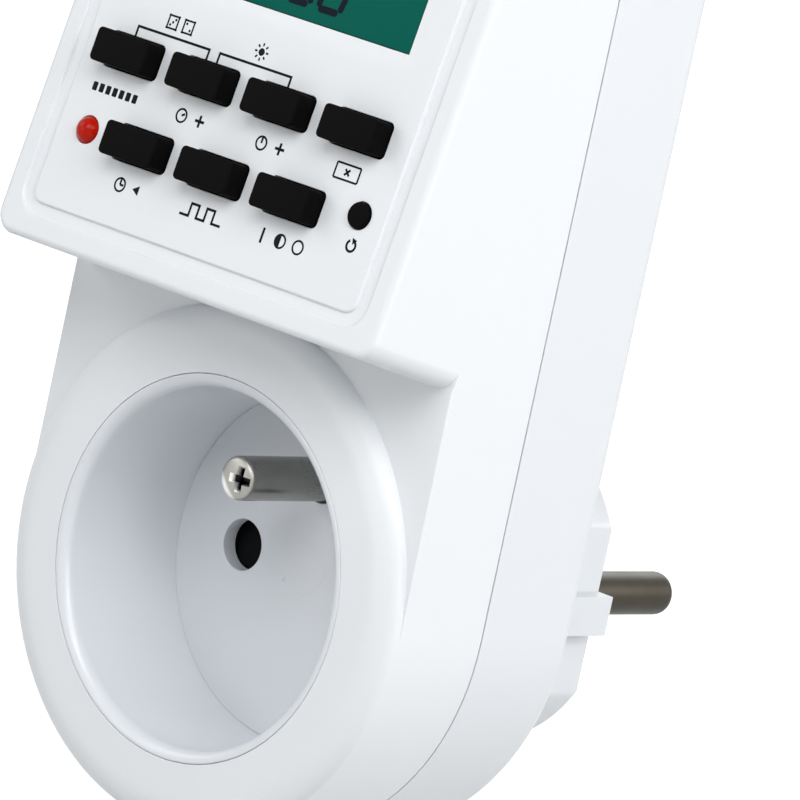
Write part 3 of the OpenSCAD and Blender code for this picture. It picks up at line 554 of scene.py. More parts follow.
@dataclass(frozen=True)
class CircuitBoard(Finish):
    """A lacquered circuit board with copper tracks showing through as a lighter pattern."""

    track: Colour
    track_size: float = 1.6
    track_depth: float = 0.02
    weave_size: float = 0.4

    def sockets(self, shader: Shader) -> Sockets:
        """Lay the tracks out in a grid over the board's weave.

        Args:
            shader: The material's tree.

        Returns:
            What goes into the Principled BSDF, by socket.
        """
        black, white = (0, 0, 0, 1), (1, 1, 1, 1)
        tracks = shader.node(
            "ShaderNodeTexBrick", {"offset": 0.5, "squash": 0.6, "squash_frequency": 3},
            {"Vector": shader.place(turn=90), "Color1": black, "Color2": black, "Mortar": white,
             "Scale": 1 / METRES / self.track_size / 4, "Mortar Size": 0.05,
             "Mortar Smooth": 0.2, "Brick Width": 2.4, "Row Height": 0.5}, "Fac")
        weave = shader.noise(self.weave_size)
        share = tracks * 0.6 + weave * 0.15
        return {"Base Color": shader.blend(share, self.colour, self.track),
                "Roughness": _about(0.4, weave, 0.2),
                "Normal": shader.bump(tracks + weave * 0.2, self.track_depth)}


@dataclass(frozen=True)
class CopperWinding(Finish):
    """Enamelled wire wound in turns side by side along the plug's axis."""

    wire: float = 0.16
    wire_depth: float = 0.05

    def sockets(self, shader: Shader) -> Sockets:
        """Round each turn of the wire and paint shade into the grooves between turns.

        Args:
            shader: The material's tree.

        Returns:
            What goes into the Principled BSDF, by socket.
        """
        turn = abs(shader.axis("Y") / self.wire % 1.0 - 0.5) * 2
        # Painted shade: the colour darkens towards each groove between turns.
        return {"Base Color": shader.blend(turn, self.colour, _darker(self.colour, 0.6)),
                "Metallic": 0.85,
                "Roughness": _about(0.32, shader.noise(1.5), 0.15),
                "Normal": shader.bump(1 - turn * turn, self.wire_depth)}


@dataclass(frozen=True)
class BandedBody(Finish):
    """A lacquered component body with coloured rings along Z."""

    band: Colour
    start: float
    pitch: float
    share: float = 0.4
    roughness: float = 0.4
    speckle_size: float = 0.5
    speckle_depth: float = 0.01

    def sockets(self, shader: Shader) -> Sockets:
        """Paint the rings over the speckled lacquer.

        Args:
            shader: The material's tree.

        Returns:
            What goes into the Principled BSDF, by socket.
        """
        along = (shader.axis("Z") - self.start) / self.pitch % 1.0
        speckle = shader.noise(self.speckle_size, 3.0)
        lacquer = shader.blend(speckle, self.colour, _darker(self.colour, 0.1))
        return {"Base Color": shader.blend(along > 1 - self.share, lacquer, self.band),
                "Roughness": _about(self.roughness, speckle, 0.2),
                "Normal": shader.bump(speckle, self.speckle_depth)}


SHELL = MouldedPlastic("shell_white_gloss", (0.765, 0.79, 0.812), roughness=0.35, shine=0.42)
REAR = MouldedPlastic("shell_white_satin", (0.715, 0.742, 0.768), roughness=0.33)
CUP = MouldedPlastic("cup_white_gloss", (0.708, 0.735, 0.768), roughness=0.24)
BLOCK = MouldedPlastic("block_ivory_matt", (0.72, 0.68, 0.56), roughness=0.5)
SHUTTER = MouldedPlastic("shutter_black_matt", (0.0035, 0.004, 0.0045), roughness=0.5, shine=0.05)
KEY = SoftRubber("key_black_rubber", (0.0016, 0.0016, 0.0018), shine=0.035)
ZEBRA = SoftRubber("strip_grey_rubber", (0.1, 0.1, 0.1))
PIN = CrownedMetal("pin_nickel", (0.33, 0.323, 0.3), (0.27, 0.264, 0.246), 0.26)
PLUG_PIN = TurnedMetal("plug_pin_dull_nickel", (0.056, 0.05, 0.04), (0.04, 0.035, 0.027), 0.45)
BRASS = StampedMetal("contact_brass", (0.72, 0.52, 0.22), (0.5, 0.34, 0.13))
SPRING = StampedMetal("spring_steel", (0.6, 0.6, 0.6), (0.42, 0.41, 0.4), 0.28)
CELL = StampedMetal("cell_steel", (0.66, 0.66, 0.67), (0.5, 0.5, 0.51), 0.25)
SCREW = StampedMetal("screw_zinc", (0.55, 0.56, 0.57), (0.4, 0.4, 0.42), 0.33)
IRON = StampedMetal("relay_iron", (0.38, 0.38, 0.4), (0.25, 0.23, 0.22), 0.45)
WINDING = CopperWinding("coil_copper", (0.7, 0.3, 0.14))
TEAL = DisplayFilm("display_teal", (0.0002, 0.112, 0.083))
DIGIT = PrintedInk("display_segment", (0.002, 0.006, 0.012), (0.002, 0.03, 0.025))
INK = PrintedInk("print_black", (0.006, 0.006, 0.007), (0.12, 0.12, 0.12))
FRAME_GREY = MouldedPlastic("frame_grey", (0.45, 0.46, 0.47), roughness=0.5)
LAMP = LampLens("lamp_red", (0.54, 0.009, 0.0008))
GREEN_BOARD = CircuitBoard("board_green", (0.01, 0.12, 0.035), (0.06, 0.3, 0.1))
TAN_BOARD = CircuitBoard("board_tan", (0.42, 0.27, 0.12), (0.55, 0.4, 0.22), 3.0)
CHIP = MouldedPlastic("chip_black", (0.018, 0.018, 0.02), roughness=0.55, grain_depth=0.006)
RELAY_BLUE = MouldedPlastic("relay_blue", (0.02, 0.09, 0.34), roughness=0.3)
FILM_YELLOW = MouldedPlastic("capacitor_yellow", (0.75, 0.5, 0.05), roughness=0.35)
CAN_NAVY = MouldedPlastic("capacitor_navy", (0.02, 0.03, 0.12), roughness=0.25)
RESISTOR = BandedBody("resistor_banded", (0.62, 0.45, 0.26), (0.2, 0.04, 0.02), 0.0, 1.3, 0.35)
DIODE = BandedBody("diode_banded", (0.02, 0.02, 0.022), (0.55, 0.55, 0.55), 1.1, 5.0, 0.16)
VARISTOR = MouldedPlastic("varistor_blue", (0.03, 0.12, 0.4), roughness=0.38, wave_depth=0.02)
FUSE = MouldedPlastic("fuse_brown", (0.16, 0.06, 0.03), roughness=0.4)
RIBBON = BandedBody("ribbon_grey", (0.5, 0.5, 0.52), (0.42, 0.42, 0.44), 0.0, 0.4, 0.5)
WIRE_BROWN = MouldedPlastic("wire_brown", (0.2, 0.07, 0.03), roughness=0.35)
WIRE_BLACK = MouldedPlastic("wire_black", (0.02, 0.02, 0.02), roughness=0.35)
WIRE_BLUE = MouldedPlastic("wire_blue", (0.02, 0.09, 0.45), roughness=0.35)

NODES_BY_FINISH: dict[Finish, str] = {
    SHELL: "front_shell",
    REAR: "rear_shell plug_boss",
    CUP: "socket_cup",
    BLOCK: "contact_block",
    SHUTTER: "safety_shutter",
    PIN: "earth_pin",
    PLUG_PIN: "plug_pin_left plug_pin_right",
    BRASS: "live_contact neutral_contact earth_sleeve earth_strip relay_moving_contact "
           "relay_fixed_contact",
    SPRING: "shutter_spring crystal battery_tabs",
    CELL: "backup_battery",
    SCREW: "case_screws logic_screws power_screws",
    IRON: "relay_yoke relay_armature",
    WINDING: "relay_coil",
    TEAL: "lcd_window lcd_glass",
    FRAME_GREY: "lcd_frame",
    ZEBRA: "zebra_strips",
    KEY: "keypad_mat reset_button key_week key_hour key_minute key_clear key_clock key_timer "
         "key_mode",
    LAMP: "status_led",
    GREEN_BOARD: "logic_board",
    TAN_BOARD: "power_board",
    CHIP: "reset_switch control_chip relay_base drive_transistor",
    RELAY_BLUE: "relay_cover",
    FILM_YELLOW: "film_capacitor",
    CAN_NAVY: "smoothing_capacitor",
    DIODE: "rectifier_diodes",
    RESISTOR: "resistors",
    VARISTOR: "varistor",
    FUSE: "fuse",
    RIBBON: "ribbon_cable",
    WIRE_BROWN: "live_in_wire",
    WIRE_BLACK: "live_out_wire",
    WIRE_BLUE: "neutral_wire",
}


# ---------------------------------------------------------------- mesh work


def mesh_from(bm: BMesh, name: str) -> bpy.types.Mesh:
    """Pour a bmesh into a new mesh and free it.

    Args:
        bm: The bmesh.
        name: The mesh's name.

    Returns:
        The mesh.
    """
    mesh = bpy.data.meshes.new(name)
    bm.to_mesh(mesh)
    bm.free()
    return mesh


def add_object(name: str, data: bpy.types.ID) -> bpy.types.Object:
    """Add an object to the scene.

    Args:
        name: Its name.
        data: Its mesh, lamp or camera data.

    Returns:
        The object.
    """
    made = bpy.data.objects.new(name, data)
    bpy.context.scene.collection.objects.link(made)
    return made


def placed(at: Sequence[float], turn: float = 0.0) -> Matrix:
    """Give the matrix that turns about z by some degrees and then moves to a place."""
    return Matrix.Translation(at) @ Matrix.Rotation(math.radians(turn), 4, "Z")


def quarter(centre: Point, radius: float, start: float, steps: int = 5) -> list[Point]:
    """List points of a quarter circle, turning anticlockwise.

    Args:
        centre: Its centre, as radius and height.
        radius: Its radius.
        start: The angle where it starts, in degrees.
        steps: Facets along it.

    Returns:
        The points from start to start + 90 degrees.
    """
    angles = (math.radians(start + 90 * i / steps) for i in range(steps + 1))
    return [(centre[0] + radius * math.cos(a), centre[1] + radius * math.sin(a)) for a in angles]


class Mould:
    """One mesh on a drawing plane, shaped by bmesh operators and finished as one piece."""

    crease: float = math.radians(20)
    flat: float = math.radians(0.4)

    def __init__(self, plane: Plane) -> None:
        """Start an empty mesh.

        Args:
            plane: The drawing plane that it is shaped on.
        """
        self.plane = plane
        self.bm = bmesh.new()
        self.copied = False
        self.merged = False

    @classmethod
    def of_node(cls, node: str, plane: Plane = Plane.FRONT) -> "Mould":
        """Take a merged copy of a CAD node, with each flat area as one face where it can be.

        Args:
            node: The CAD node's name.
            plane: The drawing plane to work on.

        Returns:
            The copy, in millimetres on that plane.
        """
        mould = cls(plane)
        mould.copied = mould.merged = True
        bm = mould.bm
        bm.from_mesh(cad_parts[node].data)
        bmesh.ops.transform(bm, verts=bm.verts,
                            matrix=plane.matrix.inverted() @ Matrix.Scale(1 / METRES, 4))
        bmesh.ops.remove_doubles(bm, verts=bm.verts, dist=0.002)
        bmesh.ops.dissolve_limit(bm, angle_limit=cls.flat, verts=bm.verts, edges=bm.edges)
        return mould

    def creases(self, level: float, where: Callable[[Vector], bool] | None = None,
                plane: Plane | None = None) -> list[BMEdge]:
        """List the creases whose two ends lie at one level and in one region.

        Args:
            level: Their height.
            where: Tells whether a point lies in the region. Without it they all do.
            plane: The plane that both are measured on, if not the mould's own.

        Returns:
            The edges.
        """
        turn = plane.matrix.inverted() @ self.plane.matrix if plane else Matrix()

        def passes(vert: BMVert) -> bool:
            """Tell whether a corner lies at the level and in the region."""
            point = turn @ vert.co
            return abs(point.z - level) < NEAR and (where is None or where(point))
        return [edge for edge in self.bm.edges
                if len(edge.link_faces) == 2 and edge.calc_face_angle(0) > self.crease
                and all(passes(vert) for vert in edge.verts)]

    def soften(self, sharp: Iterable[BMEdge | BMVert], radius: float, segments: int = 3) -> None:
        """Round some edges, or some corners of a flat face.

        Args:
            sharp: The edges or the corners to round.
            radius: How far the rounding reaches from each.
            segments: Facets across the rounding.
        """
        chosen = [item for item in sharp if item.is_valid]
        if chosen:
            kind = "VERTICES" if isinstance(chosen[0], BMVert) else "EDGES"
            bmesh.ops.bevel(self.bm, geom=chosen, offset=radius, offset_type="OFFSET",
                            segments=segments, profile=0.5, affect=kind, material=-1,
                            clamp_overlap=False)

    def rectangle(self, width: float, height: float, at: Sequence[float],
                  corner: float = 0.0, steps: int = 4, turn: float = 0.0) -> BMFace:
        """Draw a rectangle with rounded corners.

        Args:
            width: Its size across.
            height: Its size up.
            at: Its centre.
            corner: Radius of its corners.
            steps: Facets in each corner.
            turn: Turn about its centre, in degrees.

        Returns:
            The face.
        """
        matrix = placed(at, turn) @ Matrix.Diagonal((width / 2, height / 2, 1, 1))
        made = bmesh.ops.create_grid(self.bm, x_segments=1, y_segments=1, size=1.0,
                                     matrix=matrix)
        face = made["verts"][0].link_faces[0]
        if corner > 0:
            self.soften(made["verts"], corner, steps)
            face = next(f for f in self.bm.faces if f.is_valid and len(f.verts) == 4 * (steps + 1)
                        and (f.calc_center_median() - Vector(at)).length < NEAR)
        return face

    def cross(self, reach: float, width: float, at: Vector) -> BMFace:
        """Draw a cross.

        Args:
            reach: How far each arm reaches from the centre.
            width: Half the width of each arm.
            at: Its centre.

        Returns:
            The face.
        """
        corners = []
        for turn in range(0, 360, 90):
            for x, y in ((reach, -width), (reach, width), (width, width)):
                corners.append(self.bm.verts.new(placed(at, turn) @ Vector((x, y, 0))))
        return self.bm.faces.new(corners)

    def lathe(self, profile: Sequence[Point], at: Sequence[float] = (0, 0, 0),
              segments: int = 48) -> None:
        """Turn a profile of radius and height about the plane's z axis.

        Args:
            profile: Its points, from one end to the other.
            at: A point on the axis, from which heights are counted.
            segments: Facets round the axis.
        """
        points = [self.bm.verts.new(Vector(at) + Vector((radius, 0, height)))
                  for radius, height in profile]
        lines = [self.bm.edges.new(pair) for pair in zip(points, points[1:])]
        bmesh.ops.spin(self.bm, geom=[*points, *lines], cent=at, axis=(0, 0, 1),
                       angle=math.tau, steps=segments, use_merge=True)

    def pull(self, faces: list[BMFace], height: float) -> list[BMFace]:
        """Extrude some faces.

        Args:
            faces: The faces.
            height: How far they are pulled up.

        Returns:
            The faces at the top.
        """
        made = bmesh.ops.extrude_face_region(self.bm, geom=faces)["geom"]
        corners = [item for item in made if isinstance(item, BMVert)]
        bmesh.ops.translate(self.bm, verts=corners, vec=(0, 0, height))
        return [item for item in made if isinstance(item, BMFace)]

    def step(self, face: BMFace, height: float, inset: float = 0.0) -> BMFace:
        """Draw a face in and pull it up.

        Args:
            face: The face.
            height: How far it is pulled up.
            inset: How far its outline is drawn in first.

        Returns:
            The face at the top.
        """
        if inset:
            bmesh.ops.inset_region(self.bm, faces=[face], thickness=inset, use_even_offset=True)
        top = self.pull([face], height)[0]
        if face.is_valid and inset:
            bmesh.ops.delete(self.bm, geom=[face], context="FACES_ONLY")
        return top

    def fill(self, level: float) -> None:
        """Fill a level with triangles between the open rims that lie on it."""
        rims = [edge for edge in self.bm.edges if edge.is_boundary
                and all(abs(vert.co.z - level) < NEAR for vert in edge.verts)]
        bmesh.ops.triangle_fill(self.bm, edges=rims, use_beauty=True)

    def cut(self, punch: "Mould") -> None:
        """Cut a closed mesh out of this one.

        Args:
            punch: The mesh to cut out, which is used up.
        """
        pieces = []
        for mould in (self, punch):
            mould.outwards()
            pieces.append(add_object("cut", mesh_from(mould.bm, "cut")))
        modifier = pieces[0].modifiers.new("cut", "BOOLEAN")
        modifier.operation = "DIFFERENCE"
        modifier.solver = "EXACT"
        modifier.object = pieces[1]
        ready = pieces[0].evaluated_get(bpy.context.evaluated_depsgraph_get())
        self.bm = bmesh.new()
        self.bm.from_mesh(ready.to_mesh())
        self.merged = True
        ready.to_mesh_clear()
        for piece in pieces:
            mesh = piece.data
            bpy.data.objects.remove(piece)
            bpy.data.meshes.remove(mesh)

    def outwards(self) -> None:
        """Merge doubles and turn every face outwards."""
        bmesh.ops.remove_doubles(self.bm, verts=self.bm.verts, dist=0.001)
        bmesh.ops.recalc_face_normals(self.bm, faces=self.bm.faces)

    def finish(self, name: str, finish: Finish, body: str = "housing", slot: str = "",
               stands_for: str = "", crease: float = 35.0) -> None:
        """Make the mesh a piece of the object.

        Args:
            name: The piece's name.
            finish: What its surface is.
            body: The CAD body that it rides on.
            slot: The record's material slot, if it has one; not used.
            stands_for: The CAD node that it replaces, if any.
            crease: The angle in degrees above which an edge stays sharp.
        """
        if not self.merged:
            self.outwards()
        loose = sum(not edge.is_manifold for edge in self.bm.edges)
        for face in self.bm.faces:
            face.smooth = True
        for edge in self.bm.edges:
            edge.smooth = edge.calc_face_angle(math.pi) < math.radians(crease)
        bmesh.ops.transform(self.bm, verts=self.bm.verts,
                            matrix=Matrix.Scale(METRES, 4) @ self.plane.matrix)
        piece = add_object(name, mesh_from(self.bm, name))
        piece.data.materials.append(finish.material())
        if self.copied:
            modifier = piece.modifiers.new("even_shading", "WEIGHTED_NORMAL")
            modifier.keep_sharp = True
        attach(piece, body)
        if stands_for:
            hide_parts(stands_for)
        LOG.info("%s: %d faces on %s, %d open edges", name, len(piece.data.polygons), body, loose)


class Print(Mould):
    """Flat marks on one level of the panel's plane, thickened into a film of ink."""

    sink: float = 0.01

    def __init__(self, level: float = 0.0) -> None:
        """Start with no marks.

        Args:
            level: The level of the panel's plane that they lie on.
        """
        super().__init__(Plane.PANEL)
        self.foot = level - self.sink
        self.pen = (0.0, 0.0)

    def _spot(self, x: float, y: float, out: float = 0.0, turn: float = 0.0) -> Vector:
        """Give the place at x and y from the pen, or some way out from there along a turn."""
        angle = math.radians(turn)
        return Vector((self.pen[0] + x + out * math.cos(angle),
                       self.pen[1] + y + out * math.sin(angle), self.foot))

    def bar(self, width: float, height: float, x: float = 0.0, y: float = 0.0,
            turn: float = 0.0, out: float = 0.0, corner: float = 0.0, steps: int = 2) -> None:
        """Draw a bar.

        Args:
            width: Its size across.
            height: Its size up.
            x: Its place across from the pen.
            y: Its place up from the pen.
            turn: Its turn, in degrees.
            out: How far its centre lies out from that place, along its turn.
            corner: Radius of its corners.
            steps: Facets in each corner.
        """
        self.rectangle(width, height, self._spot(x, y, out, turn), corner, steps, turn)

    def dot(self, radius: float, x: float = 0.0, y: float = 0.0, sides: int = 16,
            turn: float = 0.0) -> None:
        """Draw a dot at x and y from the pen, or with three sides a triangle."""
        bmesh.ops.create_circle(self.bm, cap_ends=True, radius=radius, segments=sides,
                                matrix=placed(self._spot(x, y), turn))

    def ring(self, inner: float, outer: float, x: float = 0.0, y: float = 0.0,
             start: float = 0.0, sweep: float = 360.0, steps: int = 28) -> None:
        """Draw a ring, or a part of one.

        Args:
            inner: Its inner radius.
            outer: Its outer radius.
            x: Its centre across from the pen.
            y: Its centre up from the pen.
            start: The angle where it starts, in degrees.
            sweep: The angle that it covers, in degrees.
            steps: Facets along it.
        """
        centre = self._spot(x, y)
        ends = [self.bm.verts.new(placed(centre, start) @ Vector((radius, 0, 0)))
                for radius in (inner, outer)]
        edge = self.bm.edges.new(ends)
        bmesh.ops.spin(self.bm, geom=[*ends, edge], cent=centre, axis=(0, 0, 1),
                       angle=math.radians(sweep), steps=steps, use_merge=sweep == 360.0)

    def dry(self, name: str, finish: Finish, height: float) -> None:
        """Give the marks their height over the level and make them a piece."""
        self.pull(self.bm.faces[:], height + self.sink)
        self.finish(name, finish)


# ---------------------------------------------------------------- housing


@dataclass
class Housing:
    """The two shells and the plug boss, with their edges rounded as moulded."""

    panel_edge: float = 0.8
    front_edge: float = 0.25
    back_edge: float = 1.4
    seam_edge: float = 0.05
    seam_open: float = 0.12
    ring_edge: float = 0.1
    groove_edge: float = 0.14
    groove_rim: float = 0.26
    groove_depth: float = 0.4
    hole_edge: float = 0.12
    rib_edge: float = 0.3
    border_band: float = 1.5
    groove_x: float = 22.5
    groove_y: float = 24.5
    ring_inner: float = 20.8

    def build(self) -> None:
        """Build the three mouldings."""
        self.front_shell()
        self.rear_shell()
        self.plug_boss()

    def _on_border(self, point: Vector) -> bool:
        """Tell whether a point of the panel lies on its outer border."""
        reach = DATUM.body_radius - abs(point.x)
        return min(reach, point.y, DATUM.panel_length - point.y) < self.border_band

    def _inside_groove(self, point: Vector) -> bool:
        """Tell whether a point of the panel lies well inside the groove."""
        middle = DATUM.panel_length / 2
        return abs(point.x) < self.groove_x and abs(point.y - middle) < self.groove_y

    def _on_groove(self, point: Vector) -> bool:
        """Tell whether a point of the panel lies on one of the groove's rims."""
        return not self._inside_groove(point) and not self._on_border(point)

    def _on_ring(self, point: Vector) -> bool:
        """Tell whether a point of the front lies on the ring's inner edge."""
        return abs(math.hypot(point.x, point.y) - self.ring_inner) < NEAR

    @staticmethod
    def _on_side(point: Vector) -> bool:
        """Tell whether a point of the front lies on one side, above the round part."""
        return abs(abs(point.x) - DATUM.body_radius) < NEAR and point.y > -NEAR

    @staticmethod
    def _on_outline(point: Vector) -> bool:
        """Tell whether a point lies on the housing's outline, seen from the front.

        Args:
            point: The point, on the FRONT plane.

        Returns:
            Whether it does.
        """
        top = DATUM.panel_height + DATUM.panel_length * math.cos(math.radians(DATUM.tilt))
        across, corner = abs(point.x), DATUM.top_corner
        radius = DATUM.body_radius
        if point.y < 0:
            return abs(math.hypot(across, point.y) - radius) < NEAR
        if point.y < top - corner:
            return abs(across - radius) < NEAR
        if across < radius - corner:
            return abs(point.y - top) < NEAR
        reach = math.hypot(across - radius + corner, point.y - top + corner)
        return abs(reach - corner) < NEAR

    def front_shell(self) -> None:
        """Round the panel's border, groove, dish and holes, and the lower front's edges."""
        mould = Mould.of_node("front_shell", Plane.PANEL)
        mould.soften(mould.creases(0, self._on_border), self.panel_edge, 6)
        mould.soften(mould.creases(0, self._on_groove), self.groove_rim)
        mould.soften(mould.creases(0, self._inside_groove), self.hole_edge, 2)
        mould.soften(mould.creases(-self.groove_depth), self.groove_edge, 2)
        for level, where, edge, segments in (
                (DATUM.ring_face, self._on_ring, self.ring_edge, 2),
                (DATUM.low_front, self._on_side, self.front_edge, 3),
                (DATUM.seam, self._on_outline, self.seam_edge, 2)):
            mould.soften(mould.creases(level, where, Plane.FRONT), edge, segments)
        mould.finish("front_moulding", SHELL, slot="shell_white", stands_for="front_shell")

    def rear_shell(self) -> None:
        """Round the rear shell's back edge, and set back and round its rim at the seam."""
        mould = Mould.of_node("rear_shell")
        mould.soften(mould.creases(DATUM.back_face, self._on_outline), self.back_edge, 5)
        rim = mould.creases(DATUM.rear_rim, self._on_outline)
        corners = {vert for edge in rim for vert in edge.verts}
        bmesh.ops.translate(mould.bm, verts=list(corners), vec=(0, 0, -self.seam_open))
        mould.soften(rim, self.seam_edge, 2)
        mould.finish("rear_moulding", REAR, slot="shell_white", stands_for="rear_shell")

    def plug_boss(self) -> None:
        """Round the edges of the plug's face."""
        mould = Mould.of_node("plug_boss")
        mould.soften(mould.creases(0), self.rib_edge)
        mould.finish("plug_boss_moulding", REAR, slot="shell_white", stands_for="plug_boss")


# ---------------------------------------------------------------- socket


@dataclass
class Socket:
    """The socket cup with its pin holes, and the earth pin."""

    mouth: float = 19.36
    cup: float = 20.74
    floor_radius: float = 19.2
    floor: float = 29.6
    floor_back: float = 27.7
    lip_width: float = 1.16
    lip_depth: float = 1.4
    rim: float = 0.1
    relief: float = 0.25
    flange: float = 22.7
    flange_front: float = 42.5
    flange_thickness: float = 1.5
    hole: float = 2.8
    hole_edge: float = 0.16
    collar_hole: float = 2.64
    collar_edge: float = 0.06
    gate: Point = (-2.55, -1.9)
    gate_radius: float = 0.12
    gate_depth: float = 0.14
    ejector: float = 2.88
    mark_height: float = 0.03
    mark_foot: float = -0.1
    pin: float = 2.4
    pin_length: float = 14.0
    neck: float = 2.2
    root: float = 2.55
    root_height: float = 0.2
    collar: float = 3.6
    collar_thickness: float = 1.4
    shank: float = 1.5
    shank_end: float = 14.1
    crown: float = 0.9
    crown_power: float = 0.75
    crown_steps: int = 14
    cross_shift: float = 0.75
    cross_reach: float = 1.6
    cross_width: float = 0.5
    cross_depth: float = 1.4
    cross_taper: float = 0.42
    cross_above: float = 0.1

    def build(self) -> None:
        """Build the cup and the pin."""
        self.cup_liner()
        self.earth_pin()

    def _wall(self) -> list[Point]:
        """Draw the cup's profile.

        Returns:
            Its points, from the floor over the lip and flange to the back of the floor.
        """
        foot = self.floor_radius
        fillet = (foot - self.relief * 0.4, self.floor - self.relief * 0.6)
        lip = [(self.mouth + self.lip_width * (1 - x), DATUM.ring_face - self.lip_depth * (1 - y))
               for x, y in quarter((0, 0), 1.0, 0, 8)]
        rim = quarter((self.cup - self.rim, DATUM.ring_face - self.rim), self.rim, 0, 3)
        back = self.flange_front - self.flange_thickness
        return [(foot - self.relief, self.floor), fillet, (foot, self.floor), *lip, *rim[::-1],
                (self.cup, self.flange_front), (self.flange, self.flange_front),
                (self.flange, back), (self.cup, back), (self.cup, self.floor_back)]

    def cup_liner(self) -> None:
        """Turn the cup's wall, holes and moulding marks, and fill its floor between them."""
        mould = Mould(Plane.FRONT)
        mould.lathe(self._wall(), segments=128)
        for x, y, radius, edge in (
                (-DATUM.pin_offset, 0, self.hole, self.hole_edge),
                (DATUM.pin_offset, 0, self.hole, self.hole_edge),
                (0, DATUM.earth_height, self.collar_hole, self.collar_edge)):
            rim = quarter((radius + edge, self.floor - edge), edge, 90)
            mould.lathe(rim + [(radius, self.floor_back)], (x, y, 0))
        pit = [(self.gate_radius + self.gate_depth, 0), (self.gate_radius, -self.gate_depth),
               (0, -self.gate_depth)]
        mould.lathe(pit, (*self.gate, self.floor), segments=24)
        mark = [(0, self.mark_foot), (self.ejector, self.mark_foot), (self.ejector, 0),
                (self.ejector - self.mark_height, self.mark_height), (0, self.mark_height)]
        mould.lathe(mark, (0, 0, self.floor), segments=64)
        mould.outwards()
        mould.fill(self.floor)
        mould.fill(self.floor_back)
        mould.finish("socket_liner", CUP, slot="cup_white", stands_for="socket_cup")

    def earth_pin(self) -> None:
        """Turn the earth pin with a crowned tip, and sink the tapered cross into it."""
        mould = Mould(Plane.FRONT)
        tip = self.floor + self.pin_length
        angles = [math.pi / 2 * step / self.crown_steps for step in range(self.crown_steps + 1)]
        crown = [(self.pin * math.cos(a) ** self.crown_power,
                  tip - self.crown * (1 - math.sin(a) ** self.crown_power)) for a in angles]
        root = self.floor_back + self.root_height
        collar = self.floor_back - self.collar_thickness
        profile = [(0, self.shank_end), (self.shank, self.shank_end), (self.shank, collar),
                   (self.collar, collar), (self.collar, self.floor_back),
                   (self.root, self.floor_back), (self.root, root), (self.neck, root),
                   (self.neck, self.floor), (self.pin, self.floor), *crown]
        mould.lathe(profile, (0, DATUM.earth_height, 0), segments=96)
        punch = Mould(Plane.FRONT)
        place = Vector((self.cross_shift, DATUM.earth_height, tip + self.cross_above))
        foot = punch.step(punch.cross(self.cross_reach, self.cross_width, place),
                          -self.cross_depth - self.cross_above)
        bmesh.ops.scale(punch.bm, vec=(self.cross_taper, self.cross_taper, 1),
                        space=Matrix.Translation(-place), verts=foot.verts)
        mould.cut(punch)
        mould.finish("earth_contact_pin", PIN, slot="pin_nickel", stands_for="earth_pin")


# ---------------------------------------------------------------- plug


@dataclass
class Plug:
    """The two plug pins."""

    radius: float = 2.4
    length: float = 19.0
    tip: float = 1.44
    root: float = 2.8
    wall: float = 3.0
    flange: float = 4.0
    flange_depth: float = 4.2
    shank: float = 1.5
    left_shank_end: float = 10.0
    right_shank_end: float = 6.6

    def build(self) -> None:
        """Turn both pins."""
        self.pin("plug_pin_left", -DATUM.pin_offset, self.left_shank_end)
        self.pin("plug_pin_right", DATUM.pin_offset, self.right_shank_end)

    def pin(self, node: str, x: float, shank_end: float) -> None:
        """Turn one pin, with its tip rounded and its flange behind the end wall.

        Args:
            node: The CAD node that it stands for.
            x: Its place across.
            shank_end: Depth at which its solder end stops.
        """
        mould = Mould(Plane.FRONT)
        tip = quarter((self.radius - self.tip, -self.length + self.tip), self.tip, 270, 8)
        profile = [(0, -self.length), *tip, (self.radius, 0), (self.root, 0),
                   (self.root, self.wall), (self.flange, self.wall),
                   (self.flange, self.flange_depth), (self.shank, self.flange_depth),
                   (self.shank, shank_end), (0, shank_end)]
        mould.lathe(profile, (x, 0, 0), segments=64)
        mould.finish(f"{node}_turned", PLUG_PIN, slot="pin_nickel", stands_for=node)


# ---------------------------------------------------------------- control panel


